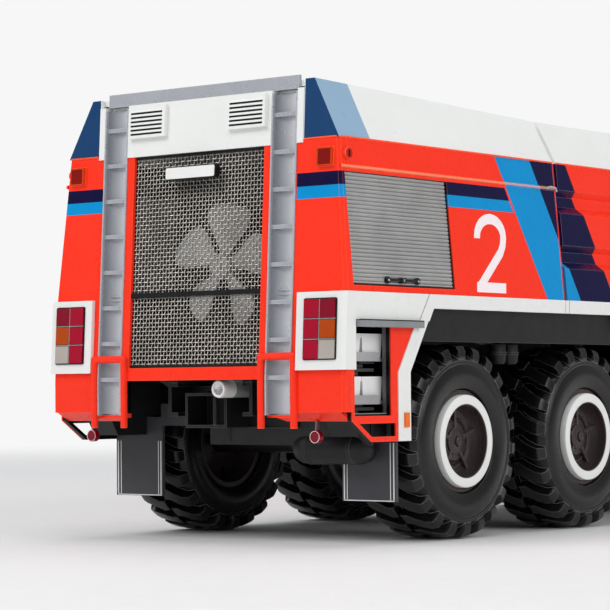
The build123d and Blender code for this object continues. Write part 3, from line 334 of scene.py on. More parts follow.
def tail_livery():
    """Red rear moulding with the level stripes outside the ladders, a painted highlight on its edges and
    painted shade on faces inside it.
    """
    graph = Graph("livery_tail", RED)
    level_stripes(graph, graph.above(graph.width, LADDER[1] + 0.3))
    # Painted highlight on the edges.
    graph.highlight(RED_HIGHLIGHT, 0.45, 0.35)
    # Near-black painted shade on faces inside the rear moulding.
    inside = graph.both(graph.above(graph.tail_depth(), 1.2), graph.above(graph.wall_depth(), 0.6))
    graph.paint(INSIDE_SHADE, inside, z=(41.0, FAR))
    return finish(graph, dimple=SMOOTH_SKIN, **RED_PAINT)


def roof_livery():
    """White roof with the blue corners at the tail, lighter blue forward of the rear face as painted
    reflection, and a fine line at the seam.
    """
    graph = Graph("livery_roof", WHITE)
    depth = graph.tail_depth()
    hip = graph.above(graph.width, 44.2)
    # Lighter blue on the corners as painted reflection, the dark blue kept to the rear-facing faces.
    graph.paint(BLUE_REFLECTION, hip, graph.below(depth, 16.5))
    graph.paint(TAIL_BLUE, hip, graph.below(depth, 0.05))
    graph.paint(SEAM_RUST, station=(SEAM[0] + 0.6, SEAM[0] + 1.3))
    return finish(graph, **WHITE_PAINT)


def cab_livery():
    """Red cab with the white waist band and a painted highlight on its edges."""
    graph = Graph("livery_cab", RED)
    graph.paint(WHITE, z=(BAND_Z, WAIST_Z))
    # Painted highlight on the edges.
    graph.highlight(RED_HIGHLIGHT, 0.5, 0.35)
    return finish(graph, dimple=SMOOTH_SKIN, **RED_PAINT)


def lens_finish():
    """Tail lenses, markers, filler caps, reflectors and the work lamp, told apart by place."""
    graph = Graph("lamp_lenses", CRIMSON)
    outer, inner, hanging = (53.65, FAR), (-FAR, 15.0), (40.0, 55.0)
    high, low, face = (115.0, FAR), (-FAR, 54.0), (-FAR, 5.0)
    graph.paint(DARK_RED, width=outer)
    graph.paint(AMBER, width=outer, z=(64.1, 70.5))
    graph.paint(CLEAR_GREY, width=outer, z=(56.0, 64.1))
    graph.paint((0.65, 0.05, 0.004), station=face, z=high)
    graph.paint((0.22, 0.003, 0.001), station=face, width=(50.8, 55.9), z=(119.0, 124.0))
    graph.paint((0.42, 0.014, 0.008), station=(5.0, FAR), z=high)
    graph.paint((0.33, 0.33, 0.33), width=inner, z=low)
    graph.paint(WHITE, width=inner, z=low, station=(-FAR, 8.6))
    graph.paint((0.20, 0.001, 0.012), width=hanging, z=low)
    graph.paint((0.10, 0.06, 0.06), width=hanging, z=(35.7, 54.0))
    graph.paint((0.85, 0.16, 0.006), width=(BODY_W, FAR), z=low)
    return finish(graph, rough=0.16, coat=0.12, drift=0.05, grain=1.2, dimple=0.03, specular=0.2)


def front_lamp_finish():
    """Clear headlamps and blue beacons, told apart by height."""
    graph = Graph("front_lenses", (0.62, 0.64, 0.66))
    graph.paint((0.0, 0.035, 0.55), z=(130.0, FAR))
    return finish(graph, rough=0.12, coat=0.3, drift=0.05, grain=1.2, dimple=0.02)


def shutter_finish():
    """Grey slats with a painted highlight on the upper part of each and the joint above it darkened as
    painted shade, the rubber strips, and the ledge.
    """
    graph = Graph("shutter_slats", SLAT_GREY)
    low, high, count = 81.0, 116.7, 28
    share = graph.math("MULTIPLY", graph.math("SUBTRACT", graph.z, low), count / (high - low))
    share = graph.math("FRACT", graph.math("ADD", share, graph.drift(3.0, 3.0, -0.10, 0.10)))
    # Painted highlight on the upper part of each slat, then the joint above it darkened as painted shade.
    graph.paint(SLAT_HIGHLIGHT, graph.between(share, 0.66, 0.92))
    graph.paint(SLAT_JOINT_SHADE, graph.above(share, 0.92))
    graph.paint(BLACK, station=(60.1, 70.0), z=(WAIST_Z, FAR))
    graph.paint((0.03, 0.03, 0.03), z=(WAIST_Z, 81.7))
    graph.paint((0.26, 0.27, 0.28), width=(BODY_W + 0.01, FAR), z=(-FAR, 72.0))
    return finish(graph, rough=0.36, metallic=0.15, drift=0.1, grain=0.5, dimple=0.02)


def locker_finish():
    """Near-black lining as painted shade deep in the locker, with lighter shelf lips and post near the
    opening.
    """
    # Near-black base as painted shade inside the locker.
    graph = Graph("locker_lining", (0.012, 0.012, 0.013))
    # Shelf lips and post near the opening, lighter than the same parts deeper in.
    graph.paint((0.38, 0.38, 0.39), width=(57.65, FAR), z=(40.6, 62.0))
    graph.paint((0.20, 0.20, 0.21), width=(57.6, FAR), station=(25.2, 27.9), z=(40.6, FAR))
    return finish(graph, rough=0.4, drift=0.1)


def silver_finish():
    """Ladder plastic with a painted highlight along its edges."""
    graph = Graph("silver_plastic", SILVER)
    # Painted highlight along the edges.
    graph.paint(SILVER_HIGHLIGHT, graph.edges(0.3, 0.8, 0.98))
    return finish(graph, rough=0.28, metallic=0.25, drift=0.04, grain=0.3, specular=0.5)


def bed_finish():
    """Silver channel with painted shade along its left wall, brightening to a painted sheen towards the
    right.
    """
    graph = Graph("silver_bed", (0.22, 0.23, 0.26))
    middle = graph.math("MULTIPLY", graph.math("SIGN", graph.x), sum(LADDER) / 2)
    across = graph.math("SUBTRACT", graph.x, middle)
    # Painted shade on the left of each channel, rising to a painted sheen on its right.
    graph.paint((0.62, 0.63, 0.66), graph.spread(across, -3.9, 2.4, 0.0, 1.0))
    return finish(graph, rough=0.24, metallic=0.2, drift=0.03, specular=0.5)


# Meshes

def circle(count, start=0.0):
    """Cosine and sine of even steps round a circle, the first of them start steps on."""
    angles = [2 * math.pi * (step + start) / count for step in range(count)]
    return [(math.cos(angle), math.sin(angle)) for angle in angles]


def along_axis(axis, along, a, b):
    """The point that lies along on one axis, and at a and b on the other two."""
    spot = "xyz".index(axis)
    return (*(a, b)[:spot], along, *(a, b)[spot:])


def rounded(x0, x1, z0, z1, radius, steps=4):
    """A rectangle of (x, z) points with round corners."""
    right, left, top, foot = x1 - radius, x0 + radius, z1 - radius, z0 + radius
    points = []
    for cx, cz, start in ((right, top, 0), (left, top, 90), (left, foot, 180), (right, foot, 270)):
        for step in range(steps + 1):
            angle = math.radians(start + 90 * step / steps)
            points.append((cx + radius * math.cos(angle), cz + radius * math.sin(angle)))
    return points


class Shape:
    """A mesh put together from simple closed forms."""

    def __init__(self):
        self.points = []
        self.faces = []
        self.slots = []
        self.slot = 0

    def add(self, points, faces):
        first = len(self.points)
        self.points += [tuple(point) for point in points]
        self.faces += [[first + index for index in face] for face in faces]
        self.slots += [self.slot] * len(faces)
        return self

    def hull(self, near, far):
        """Close the space between two outlines with as many points each."""
        count = len(near)
        faces = [list(range(count)), list(range(2 * count - 1, count - 1, -1))]
        for index in range(count):
            after = (index + 1) % count
            faces.append([after, index, index + count, after + count])
        return self.add([*near, *far], faces)

    def prism(self, axis, outline, low, high):
        """Extrude an outline along an axis: (station, z) along x, (x, z) along y, (x, station) along z."""
        return self.hull(*([along_axis(axis, end, a, b) for a, b in outline] for end in (low, high)))

    def box(self, x0, x1, y0, y1, z0, z1):
        return self.prism("x", [(y0, z0), (y1, z0), (y1, z1), (y0, z1)], x0, x1)

    def on_tail(self, outline, near, far):
        """Extrude an outline of (x, z) points between two depths from the leaning rear face."""
        return self.hull(*([(x, rear_y(z, depth), z) for x, z in outline] for depth in (near, far)))

    def slab(self, near, far, low, high, x0, x1):
        """A plate parallel to the rear face between two depths."""
        return self.on_tail([(x0, low), (x1, low), (x1, high), (x0, high)], near, far)

    def ring(self, centre, axis, profile, sides, closed=True):
        """Turn a profile of (along, radius) points about an axis through centre."""
        points, faces = [], []
        for cosine, sine in circle(sides):
            for along, radius in profile:
                offset = along_axis(axis, along, cosine * radius, sine * radius)
                points.append([c + o for c, o in zip(centre, offset)])
        count = len(profile)
        for step in range(sides):
            here, there = step * count, (step + 1) % sides * count
            for index in range(count if closed else count - 1):
                after = (index + 1) % count
                faces.append([here + index, here + after, there + after, there + index])
        return self.add(points, faces)

    def hoops(self, centre, axis, places, half, inner, outer, sides=36):
        """Plain rings of one section at several places along an axis."""
        for along in places:
            low, high = along - half, along + half
            self.ring(centre, axis, [(low, inner), (low, outer), (high, outer), (high, inner)], sides)
        return self

    def pipe(self, path, radius, sides=8):
        """A round bar that follows a list of points."""
        path = [Vector(point) for point in path]
        points, faces = [], []
        across = (path[1] - path[0]).orthogonal().normalized()
        for index, spot in enumerate(path):
            along = (path[min(len(path) - 1, index + 1)] - path[max(0, index - 1)]).normalized()
            across = (across - along * across.dot(along)).normalized()
            up = along.cross(across)
            points += [spot + (across * cosine + up * sine) * radius for cosine, sine in circle(sides)]
        for first in range(0, len(points) - sides, sides):
            for step in range(sides):
                after = (step + 1) % sides
                faces.append([first + step, first + after, first + sides + after, first + sides + step])
        faces.append(list(range(sides))[::-1])
        faces.append(list(range(len(points) - sides, len(points))))
        return self.add(points, faces)

    def bolts(self, centre, axis, reach, count, low, high, radius, start=0.0):
        """A circle of hexagon heads about an axis through centre."""
        for cosine, sine in circle(count, start):
            path = [Vector(centre) + Vector(along_axis(axis, end, reach * cosine, reach * sine))
                    for end in (low, high)]
            self.pipe(path, radius, 6)
        return self

    def sheet(self, grid, thick):
        """A closed slab over a grid of points, thickened by the vector thick."""
        rows, columns = len(grid), len(grid[0])
        front = [tuple(point) for row in grid for point in row]
        back = [tuple(Vector(point) + Vector(thick)) for point in front]
        total = rows * columns
        faces = []
        for row in range(rows - 1):
            for column in range(columns - 1):
                a = row * columns + column
                quad = [a, a + 1, a + columns + 1, a + columns]
                faces += [quad, [total + index for index in reversed(quad)]]
        rim = list(range(columns))
        rim += [row * columns + columns - 1 for row in range(1, rows)]
        rim += [(rows - 1) * columns + column for column in range(columns - 2, -1, -1)]
        rim += [row * columns for row in range(rows - 2, 0, -1)]
        for here, there in zip(rim, rim[1:] + rim[:1]):
            faces.append([there, here, total + here, total + there])
        return self.add(front + back, faces)

    def turned(self, matrix, first):
        """Move the points from index first on by a matrix."""
        self.points[first:] = [tuple(matrix @ Vector(point)) for point in self.points[first:]]

    def moved(self, x, station, z):
        """Move everything so far."""
        self.points = [(a + x, b + station, c + z) for a, b, c in self.points]
        return self

    def mirrored(self):
        """Add the mirror image of everything so far on the other side."""
        first = len(self.points)
        self.points += [(-x, y, z) for x, y, z in self.points]
        self.faces += [[first + index for index in reversed(face)] for face in self.faces]
        self.slots += self.slots
        return self

    def mesh(self, name, local=False):
        mesh = bpy.data.meshes.new(name)
        points = [Vector(point) * MM if local else place(*point) for point in self.points]
        mesh.from_pydata(points, [], self.faces)
        mesh.polygons.foreach_set("material_index", self.slots)
        work = bmesh.new()
        work.from_mesh(mesh)
        bmesh.ops.recalc_face_normals(work, faces=work.faces)
        work.to_mesh(mesh)
        work.free()
        return mesh


def show(name, data):
    """Add an object to the scene."""
    thing = bpy.data.objects.new(name, data)
    bpy.context.scene.collection.objects.link(thing)
    return thing


def round_edges(piece, width, segments, angle):
    rounding = piece.modifiers.new("edges", "BEVEL")
    rounding.width = width * MM
    rounding.segments = segments
    rounding.limit_method = "ANGLE"
    rounding.angle_limit = math.radians(angle)
    rounding.harden_normals = True
    return rounding


def mark_sharp(mesh, angle):
    work = bmesh.new()
    work.from_mesh(mesh)
    for edge in work.edges:
        edge.smooth = len(edge.link_faces) == 2 and edge.calc_face_angle(0) < math.radians(angle)
    work.to_mesh(mesh)
    work.free()


def put(name, shape, *materials, body="truck", bevel=0.0, segments=2, smooth=30.0, replaces=(), slot=None,
        spot=None):
    """Make a piece of a shape or mesh, soften its edges and let it ride on a body."""
    mesh = shape.mesh(name) if isinstance(shape, Shape) else shape
    piece = show(name, mesh)
    if not mesh.materials:
        for material in materials:
            mesh.materials.append(material)
    if spot:
        piece.matrix_world = spot
    for polygon in mesh.polygons:
        polygon.use_smooth = True
    if bevel:
        round_edges(piece, bevel, segments, 35).miter_outer = "MITER_ARC"
    else:
        mark_sharp(mesh, smooth)
    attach(piece, body)
    if replaces:
        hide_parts(*replaces)


def pair(name, shape, *materials, **how):
    """Put a piece together with its mirror image on the other side."""
    put(name, shape.mirrored(), *materials, **how)


# Materials

# Materials from edged() carry a painted highlight along their edges: glints on the tyre lugs, light edges on
# the paint, chassis, rims, fittings, canisters and the fan.
red = edged("paint_red", RED, RED_HIGHLIGHT, **RED_PAINT)
white = plastic("paint_white", WHITE, **WHITE_PAINT)
silver = silver_finish()
silver_bed = bed_finish()
chassis = edged("chassis_black", (0.010, 0.009, 0.010), (0.10, 0.10, 0.10), 0.3, rough=0.42, drift=0.15)
black = plastic("trim_black", BLACK, rough=0.32, drift=0.1)
rubber = edged("tyre_rubber", (0.006, 0.005, 0.005), (0.19, 0.19, 0.195), 0.3, rough=0.24, drift=0.15,
               grain=0.4, dimple=0.02, specular=0.34)
dish = edged("rim_dark", (0.044, 0.032, 0.031), (0.20, 0.17, 0.16), 0.3, rough=0.3, drift=0.2, grain=0.5)
wire = plastic("mesh_wire", (0.40, 0.375, 0.34), rough=0.35, metallic=0.5, drift=0.2, specular=0.5)
grey = edged("fitting_grey", (0.25, 0.25, 0.25), (0.5, 0.5, 0.5), 0.2, rough=0.4, drift=0.06)
flap = plastic("flap_grey", (0.058, 0.058, 0.066), rough=0.45, drift=0.1)
can_white = edged("canister_white", (0.86, 0.87, 0.87), (0.93, 0.93, 0.93), 0.3, rough=0.35, drift=0.05)
fan_grey = edged("fan_grey", (0.44, 0.44, 0.43), (0.9, 0.9, 0.9), 0.2, rough=0.3, drift=0.03)
decal = plastic("decal_white", (0.95, 0.86, 0.88), rough=0.3, drift=0.01)
bezel = plastic("bezel_chrome", (0.6, 0.6, 0.62), rough=0.18, metallic=0.9, drift=0.03)
monitor_red = edged("monitor_red", (0.55, 0.02, 0.01), RED_HIGHLIGHT, rough=0.35, drift=0.04)
interior = plastic("interior_grey", (0.05, 0.05, 0.055), rough=0.6, drift=0.1)
glass = plastic("glass_dark", (0.012, 0.014, 0.016), rough=0.06, coat=0.4, drift=0.05, specular=0.35)
amber_lens = plastic("lens_amber", (0.75, 0.16, 0.006), rough=0.15, coat=0.3, drift=0.05)

# The carried-over nodes of each finish; all others are chassis black
NODE_FINISH = {
    body_livery(): ("rear_sides", "tank_sides"),
    tail_livery(): ("rear_end",),
    roof_livery(): ("rear_roof", "tank_roof"),
    cab_livery(): ("cab_front", "cab_sides", "cab_rear", "cab_door_left", "cab_door_right"),
    lens_finish(): ("rear_lamps",),
    front_lamp_finish(): ("front_lamps",),
    shutter_finish(): ("shutters",),
    locker_finish(): ("locker_shelves",),
    white: ("rear_top_panel", "lamp_panels", "cab_roof", "front_bumper"),
    silver: ("ladders", "roof_monitor_barrel"),
    red: ("ladder_guards",),
    monitor_red: ("roof_monitor_turret", "bumper_monitor"),
    can_white: ("canisters",),
    flap: ("mudflaps",),
    grey: ("cooling_fan",),
    black: ("mirrors", "radiator", "engine_block"),
    interior: ("cab_interior",),
    glass: ("cab_glass",),
}
NODE_BEVEL = {"ladders": 0.22, "canisters": 0.25, "lamp_panels": 0.25, "tow_box": 0.15}


def dress_nodes():
    """Give every carried-over node its material."""
    finishes = {name: material for material, names in NODE_FINISH.items() for name in names}
    for name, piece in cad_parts.items():
        piece.data.materials.clear()
        piece.data.materials.append(finishes.get(name, chassis))
        if name in NODE_BEVEL:
            round_edges(piece, NODE_BEVEL[name], 2, 40)


# Wheels

LUGS = 22
CARCASS = ((9.6, 17.0), (11.2, 17.5), (11.85, 19.2), (12.05, 22.0), (11.9, 24.6), (11.55, 25.4),
           (11.75, 25.9), (11.5, 26.4), (11.7, 26.8), (11.3, 27.4), (9.4, 28.6), (5.0, 29.0))
# Along one lug, from the middle of the tread to its shoulder: x, edges of the lug round the tyre, top radius
LUG = ((0.6, -2.6, 1.6, 32.15), (3.0, -2.9, 1.9, 32.2), (5.6, -1.0, 3.6, 32.2), (8.8, 0.6, 5.0, 32.05),
       (10.8, 1.3, 5.4, 31.4), (11.65, 1.5, 5.3, 29.8), (11.95, 1.7, 5.1, 27.9))
LUG_FOOT = ((0.3, 28.6), (3.0, 28.8), (5.6, 28.8), (8.8, 28.4), (10.6, 27.8), (11.2, 27.2), (11.4, 27.0))
LUG_ARC_R = 31.0  # radius on which the lugs' edges are measured
AXLE = (0, 0, 0)
BARREL = ((-9.9, 15.4), (-9.9, 16.9), (10.2, 16.9), (10.4, 16.2), (10.2, 15.4), (9.8, 12.2), (7.8, 11.7),
          (6.2, 10.6), (5.6, 9.0), (6.6, 6.9), (7.2, 6.3), (7.4, 0.01), (0.6, 0.01), (0.6, 15.2))
HUB = ((7.0, 0.01), (7.0, 4.6), (8.2, 4.4), (8.6, 3.6), (8.7, 2.0), (9.6, 1.7), (9.9, 1.2), (10.0, 0.01))
BOLT_RIDGE = ((6.0, 8.6), (6.5, 8.7), (6.5, 9.1), (6.0, 9.2))
LIP_LINING = ((9.8, 11.95), (12.2, 11.95), (12.34, 12.2), (12.2, 12.5), (9.8, 12.5))
LIP = ((10.2, 12.3), (11.8, 12.1), (12.35, 12.3), (12.5, 12.8), (12.5, 14.8), (12.35, 15.25), (11.8, 15.4),
       (10.2, 15.4))
RIB = ((-0.6, 4.2), (0.6, 4.2), (0.35, 11.2), (-0.35, 11.2))


def tyre_mesh():
    """Carcass with smooth side walls and two staggered rows of chunky lugs."""
    shape = Shape().ring(AXLE, "x", [*CARCASS, *((-x, r) for x, r in reversed(CARCASS))], 96)
    lanes = 5
    for side in (-1, 1):
        for lug in range(LUGS):
            turn = 2 * math.pi * (lug + (0.25 if side > 0 else 0.75)) / LUGS
            points, faces = [], []
            for (x, left, right, top), (foot_x, foot) in zip(LUG, LUG_FOOT):
                row = [(foot_x, left - 0.5, foot), (x, left, top), (x, (left + right) / 2, top + 0.05),
                       (x, right, top), (foot_x, right + 0.5, foot)]
                for spot, arc, radius in row:
                    angle = turn + side * arc / LUG_ARC_R
                    points.append((side * spot, radius * math.cos(angle), radius * math.sin(angle)))
            for row in range(0, len(points) - lanes, lanes):
                for a in range(row, row + lanes - 1):
                    faces.append([a, a + 1, a + lanes + 1, a + lanes])
            faces.append(list(range(lanes)))
            faces.append(list(range(len(points) - lanes, len(points))))
            shape.add(points, faces)
    return shape.mesh("tyre_tread", local=True)


def rim_mesh():
    """White lip ring, dark dish, hub with ribs and a bolt circle."""
    shape = Shape().ring(AXLE, "x", BARREL, 72)
    for rib in range(5):
        first = len(shape.points)
        shape.prism("x", RIB, 4.4, 7.9)
        shape.turned(Matrix.Rotation(2 * math.pi * rib / 5, 3, "X"), first)
    shape.bolts(AXLE, "x", 8.8, 10, 5.2, 6.5, 0.55, start=0.5)
    shape.ring(AXLE, "x", HUB, 40, False)
    shape.ring(AXLE, "x", BOLT_RIDGE, 60)
    shape.ring(AXLE, "x", LIP_LINING, 96)
    shape.slot = 1
    shape.ring(AXLE, "x", LIP, 96)
    return shape.mesh("rim_dish", local=True)


def make_wheels():
    kinds = (("tyre", tyre_mesh(), (rubber,), 0.12), ("rim", rim_mesh(), (dish, white), 0.0))
    for side, label in ((-1, "left"), (1, "right")):
        for number, station in enumerate(AXLES, 1):
            turn = Matrix.Rotation(0 if side > 0 else math.pi, 4, "Z")
            spot = Matrix.Translation(place(side * WHEEL_X, station, WHEEL_Z)) @ turn
            wheel = "%s_%d" % (label, number)
            for kind, mesh, materials, bevel in kinds:
                put("%s_dressed_%s" % (kind, wheel), mesh, *materials, body="wheel_" + wheel, bevel=bevel,
                    segments=1, replaces=["%s_%s" % (kind, wheel)], slot=kind, spot=spot)


# Tail

WIRE_PITCH = 1.36
WIRE_R = 0.165
WIRE_CRIMP = 0.24
WIRE_DEPTH = 1.35
SPLIT_Z = (79.3, 80.9)  # the bar that splits the grille
FRAME_WIDE = 0.9
FAN = (16.6, 89.6)  # station and height of the fan's hub
FAN_HUB = ((-3.6, 0.01), (-3.6, 1.6), (-3.0, 2.2), (-3.0, 3.6), (-2.4, 4.2), (4.4, 4.2), (4.4, 0.01))
BLADES = 5
# Along one paddle: reach and half its width
PADDLE = ((2.5, 1.2), (6.0, 2.4), (9.5, 4.3), (13.0, 6.4), (16.0, 7.5), (18.4, 7.0), (19.9, 4.9), (20.4, 2.1))
PADDLE_THICK = 0.7
VENT_FOOT, VENT_PITCH, VENT_X = 133.5, 1.4, (14.6, 28.4)
PLATE_X, PLATE_Z = 10.8, (117.4, 121.9)


def wire_places(low, high):
    """As many places for wires as fit between two edges, centred."""
    count = int((high - low) / WIRE_PITCH)
    first = low + (high - low - (count - 1) * WIRE_PITCH) / 2
    return [first + index * WIRE_PITCH for index in range(count)]


def make_grille():
    """Woven wire over the whole opening, the split bar and a thin frame."""
    foot, top = GRILLE_Z
    shape, bars = Shape(), Shape()

    def weave(start, crossings, end, phase):
        """One wire through (x, z) places, behind and before the wires that it crosses in turn."""
        path = [(x, rear_y(z, WIRE_DEPTH) + WIRE_CRIMP * (1 if (phase + index) % 2 else -1), z)
                for index, (x, z) in enumerate(crossings)]
        ends = [(x, rear_y(z, WIRE_DEPTH), z) for x, z in (start, end)]
        shape.pipe([ends[0], *path, ends[1]], WIRE_R, 5)

    columns, rows = wire_places(-GRILLE_W, GRILLE_W), wire_places(foot, top)
    for column, x in enumerate(columns):
        weave((x, foot), [(x, z) for z in rows], (x, top), column)
    for row, z in enumerate(rows):
        weave((-GRILLE_W, z), [(x, z) for x in columns], (GRILLE_W, z), row + 1)
    put("grille_weave", shape, wire, replaces=["rear_grille"], slot="mesh")
    bars.slab(0.3, 1.9, *SPLIT_Z, -GRILLE_W, GRILLE_W)
    for low in (foot, top - FRAME_WIDE):
        bars.slab(0.8, 1.9, low, low + FRAME_WIDE, -GRILLE_W, GRILLE_W)
    put("grille_bars", bars, black, bevel=0.15)


def make_fan():
    """Broad paddles, pitched and slightly dished, on a round hub."""
    shape = Shape()
    shares = [(column - 3) / 3 for column in range(7)]
    for blade in range(BLADES):
        first = len(shape.points)
        grid = [[(half * share, 1.1 * (share * share - 0.5) * half / 8.4, reach) for share in shares]
                for reach, half in PADDLE]
        shape.sheet(grid, (0, PADDLE_THICK, 0))
        turn = Matrix.Rotation(math.radians(8 + 72 * blade), 3, "Y")
        shape.turned(turn @ Matrix.Rotation(math.radians(22), 3, "Z"), first)
    shape.ring(AXLE, "y", FAN_HUB, 32)
    shape.bolts(AXLE, "y", 2.9, BLADES, -3.0, -3.5, 0.45)
    station, z = FAN
    put("fan_paddles", shape.moved(0, station, z), fan_grey, body="cooling_fan", replaces=["cooling_fan"],
        slot="silver")


def make_vents():
    """Black slabs in the slots as painted shade between the blades, and a soft frame for the two louvred
    vents.
    """
    slots, blades = Shape(), Shape()
    for row in range(6):
        z = VENT_FOOT + VENT_PITCH * row
        # Black slab in each slot as painted shade between the blades.
        slots.slab(-2.03, -1.2, z + 0.2, z + 0.82, *VENT_X)
        section = [(-2.3, 0.82), (-1.95, 1.52), (-1.7, 1.52), (-1.7, 0.82)]
        blades.prism("x", [(rear_y(z, depth), z + rise) for depth, rise in section],
                     VENT_X[0] + 0.1, VENT_X[1] - 0.1)
    pair("vent_shade_slabs", slots, black)
    pair("vent_blades", blades, white, bevel=0.08)


def make_plate():
    """Blank number plate in a deep dark tray."""
    low, high = PLATE_Z
    tray = Shape().on_tail(rounded(-PLATE_X, PLATE_X, low, high, 0.7), -3.75, -1.4)
    tray.slab(-1.4, 1.0, low + 1.2, high - 1.2, -6, 6)
    face = Shape().on_tail(rounded(0.35 - PLATE_X, PLATE_X - 0.35, low + 0.4, high - 0.4, 0.5), -4.0, -3.7)
    put("plate_tray", tray, black, bevel=0.12, replaces=["number_plate"], slot="white_body")
    put("plate_face", face, white, bevel=0.08)


def make_ladder_trim():
    """Hollow rounded beds in the ladder channels and the joint between their halves."""
    shape = Shape()
    inner, outer = LADDER[0] + 0.56, LADDER[1] - 0.56
    shares = [column / 14 for column in range(15)]
    grid = [[(inner + (outer - inner) * share, rear_y(z, 2.36 - 1.75 * (2 * share - 1) ** 2), z)
             for share in shares] for z in (40.9, REAR_BEND_Z, ROOF_TOP + 0.1)]
    shape.sheet(grid, (0, 0.3, 0))
    for z in (78.6, 80.0):
        shape.slab(1.7, 2.4, z, z + 0.35, inner + 1.2, outer - 1.2)
    pair("ladder_beds", shape, silver_bed, smooth=60, slot="silver")


def make_tail_lamps():
    """Dark beds with thin light dividers behind the tail lenses, and rims for the lamps."""
    bed, lines, rim, stem = Shape(), Shape(), Shape(), Shape()
    bed.on_tail(rounded(47.1, 60.2, 57.6, 77.0, 0.6), -1.75, -1.38)
    for z in (64.1, 70.5):
        lines.slab(-2.12, -1.7, z - 0.11, z + 0.11, 47.4, 59.9)
    lines.slab(-2.12, -1.7, 58.0, 76.6, 53.55, 53.75)
    pair("lamp_beds", bed, black)
    pair("lamp_dividers", lines, grey)
    x, y, z = 48.0, 3.4, 33.5  # hanging reflector
    rim.ring((x, y, z), "y", [(0.3, 1.7), (-0.1, 1.78), (-0.15, 1.88), (0.2, 1.95), (0.7, 1.95),
                              (0.7, 1.7)], 32)
    stem.pipe([(x, y + 0.6, z + 2.0), (x, y + 0.9, 38.6)], 0.14)
    pair("reflector_rims", rim, can_white)
    pair("reflector_wires", stem, bezel)
    ring, slot, seat = Shape(), Shape(), Shape()
    y, z = 7.1, 122.4  # filler cap
    x = side_x(z)
    ring.ring((x + 0.75, y, z), "x", [(-0.6, 1.45), (0.3, 1.5), (0.42, 1.65), (0.3, 1.78), (-0.6, 1.8)], 28)
    pair("cap_rings", ring, red)
    pair("cap_slots", slot.box(x + 0.7, x + 1.3, y - 0.3, y + 0.3, z - 1.0, z + 1.0), black)
    seat.on_tail(rounded(49.9, 56.6, 118.3, 124.7, 0.4), -0.45, 0.1)
    pair("marker_seats", seat, red, bevel=0.1)


def make_work_lamp():
    """Lens, inner mirror and joint ring of the round work lamp."""
    x, y, z = 9.2, 3.0, 48.85
    rim, mirror, band = Shape(), Shape(), Shape()
    rim.ring((x, y, z), "y", [(0.4, 2.0), (-0.5, 2.05), (-0.7, 2.3), (-0.6, 2.7), (0.0, 2.9), (0.6, 2.9),
                              (0.6, 2.0)], 40)
    mirror.ring((x, y, z), "y", [(-0.1, 0.01), (-0.12, 0.5), (-0.02, 0.55), (-0.1, 1.2), (0.0, 1.25),
                                 (-0.2, 2.0), (0.3, 2.0), (0.3, 0.01)], 40)
    for foot in (-0.7, -0.2, 0.3):
        mirror.box(x - 0.55, x + 0.55, y - 0.38, y - 0.1, z + foot, z + foot + 0.28)
    band.ring((x, 0, z), "y", [(8.4, 2.8), (8.5, 2.95), (9.1, 2.95), (9.2, 2.8)], 40)
    put("work_lamp_rim", rim, white, smooth=40)
    put("work_lamp_mirror", mirror, bezel)
    put("work_lamp_band", band, grey)


def make_flap_lines():
    """White double lines on the mudflaps."""
    shape = Shape()
    rear, front = 29.33, 29.45
    for x0, x1 in ((39.5, 39.95), (40.75, 41.0), (58.1, 58.4), (59.35, 59.8)):
        shape.box(x0, x1, rear, front, 12.9, 31.2)
    shape.box(39.5, 59.8, rear, front, 12.45, 12.75)
    pair("flap_lines", shape, white)


def make_underside():
    """Channel, underrun plate and air tank below the tail."""
    shape, tank = Shape(), Shape()
    shape.prism("x", [(18.4, 35.9), (20.0, 35.9), (20.0, 42.3), (18.4, 42.3), (18.4, 41.7), (19.4, 41.7),
                      (19.4, 36.5), (18.4, 36.5)], 8.9, 28.0)
    shape.prism("x", [(20.6, 38.2), (21.6, 38.4), (21.6, 30.6), (20.9, 30.4), (20.6, 30.9)], -9.8, 57.5)
    shape.box(-1.5, -0.9, 20.2, 20.7, 31.2, 38.0)
    shape.pipe([(5.6, 5.2, 37.2), (5.6, 5.2, 46.9)], 0.75, 16)
    put("tail_channel", shape, chassis, bevel=0.15)
    y, z = 24.0, 29.4
    half = [(10.5, 5.1), (12.0, 4.9), (14.0, 4.0), (15.2, 2.4), (15.6, 0.01)]
    tank.ring((40.0, y, z), "x", [*((-along, radius) for along, radius in reversed(half)), *half], 36, False)
    for x in (31.0, 49.0):
        tank.hoops((x, y, z), "x", [0], 0.6, 5.0, 5.3)
        tank.box(x - 0.6, x + 0.6, y - 0.6, y + 0.6, 34.0, 38.5)
    put("tail_tank", tank, chassis, smooth=40)


def make_bay_screens():
    """Plates that close the engine bay towards the wheels."""
    shape = Shape().box(27.6, 58.8, 35.6, 36.2, 54.5, 73.6).box(27.0, 27.6, 35.6, 40.5, 54.5, 73.6)
    pair("bay_screens", shape, chassis)


def make_air_chambers():
    """Brake chambers and hoses that show over the wheels."""
    shape = Shape()
    x, z = 54.0, 60.3
    for y in (97.5, 105.0):
        shape.ring((x, y, z), "z", [(-3.6, 0.01), (-3.6, 2.4), (-2.8, 3.0), (-0.4, 3.1), (-0.4, 3.4),
                                    (0.4, 3.4), (0.4, 3.1), (3.0, 3.0), (3.6, 2.2), (3.6, 0.01)], 28)
        shape.pipe([(x, y, 64.0), (x + 0.2, y - 3, 65.0), (x, y - 9, 63.6), (x - 1, y - 16, 64.6)], 0.45)
    for y in (60.0, 334.0, 348.0):
        shape.pipe([(50.0, y + 14, 65.0), (50.5, y + 8, 64.0), (51.0, y, 65.2)], 0.5)
    pair("air_chambers", shape, chassis, smooth=40)


# Sides

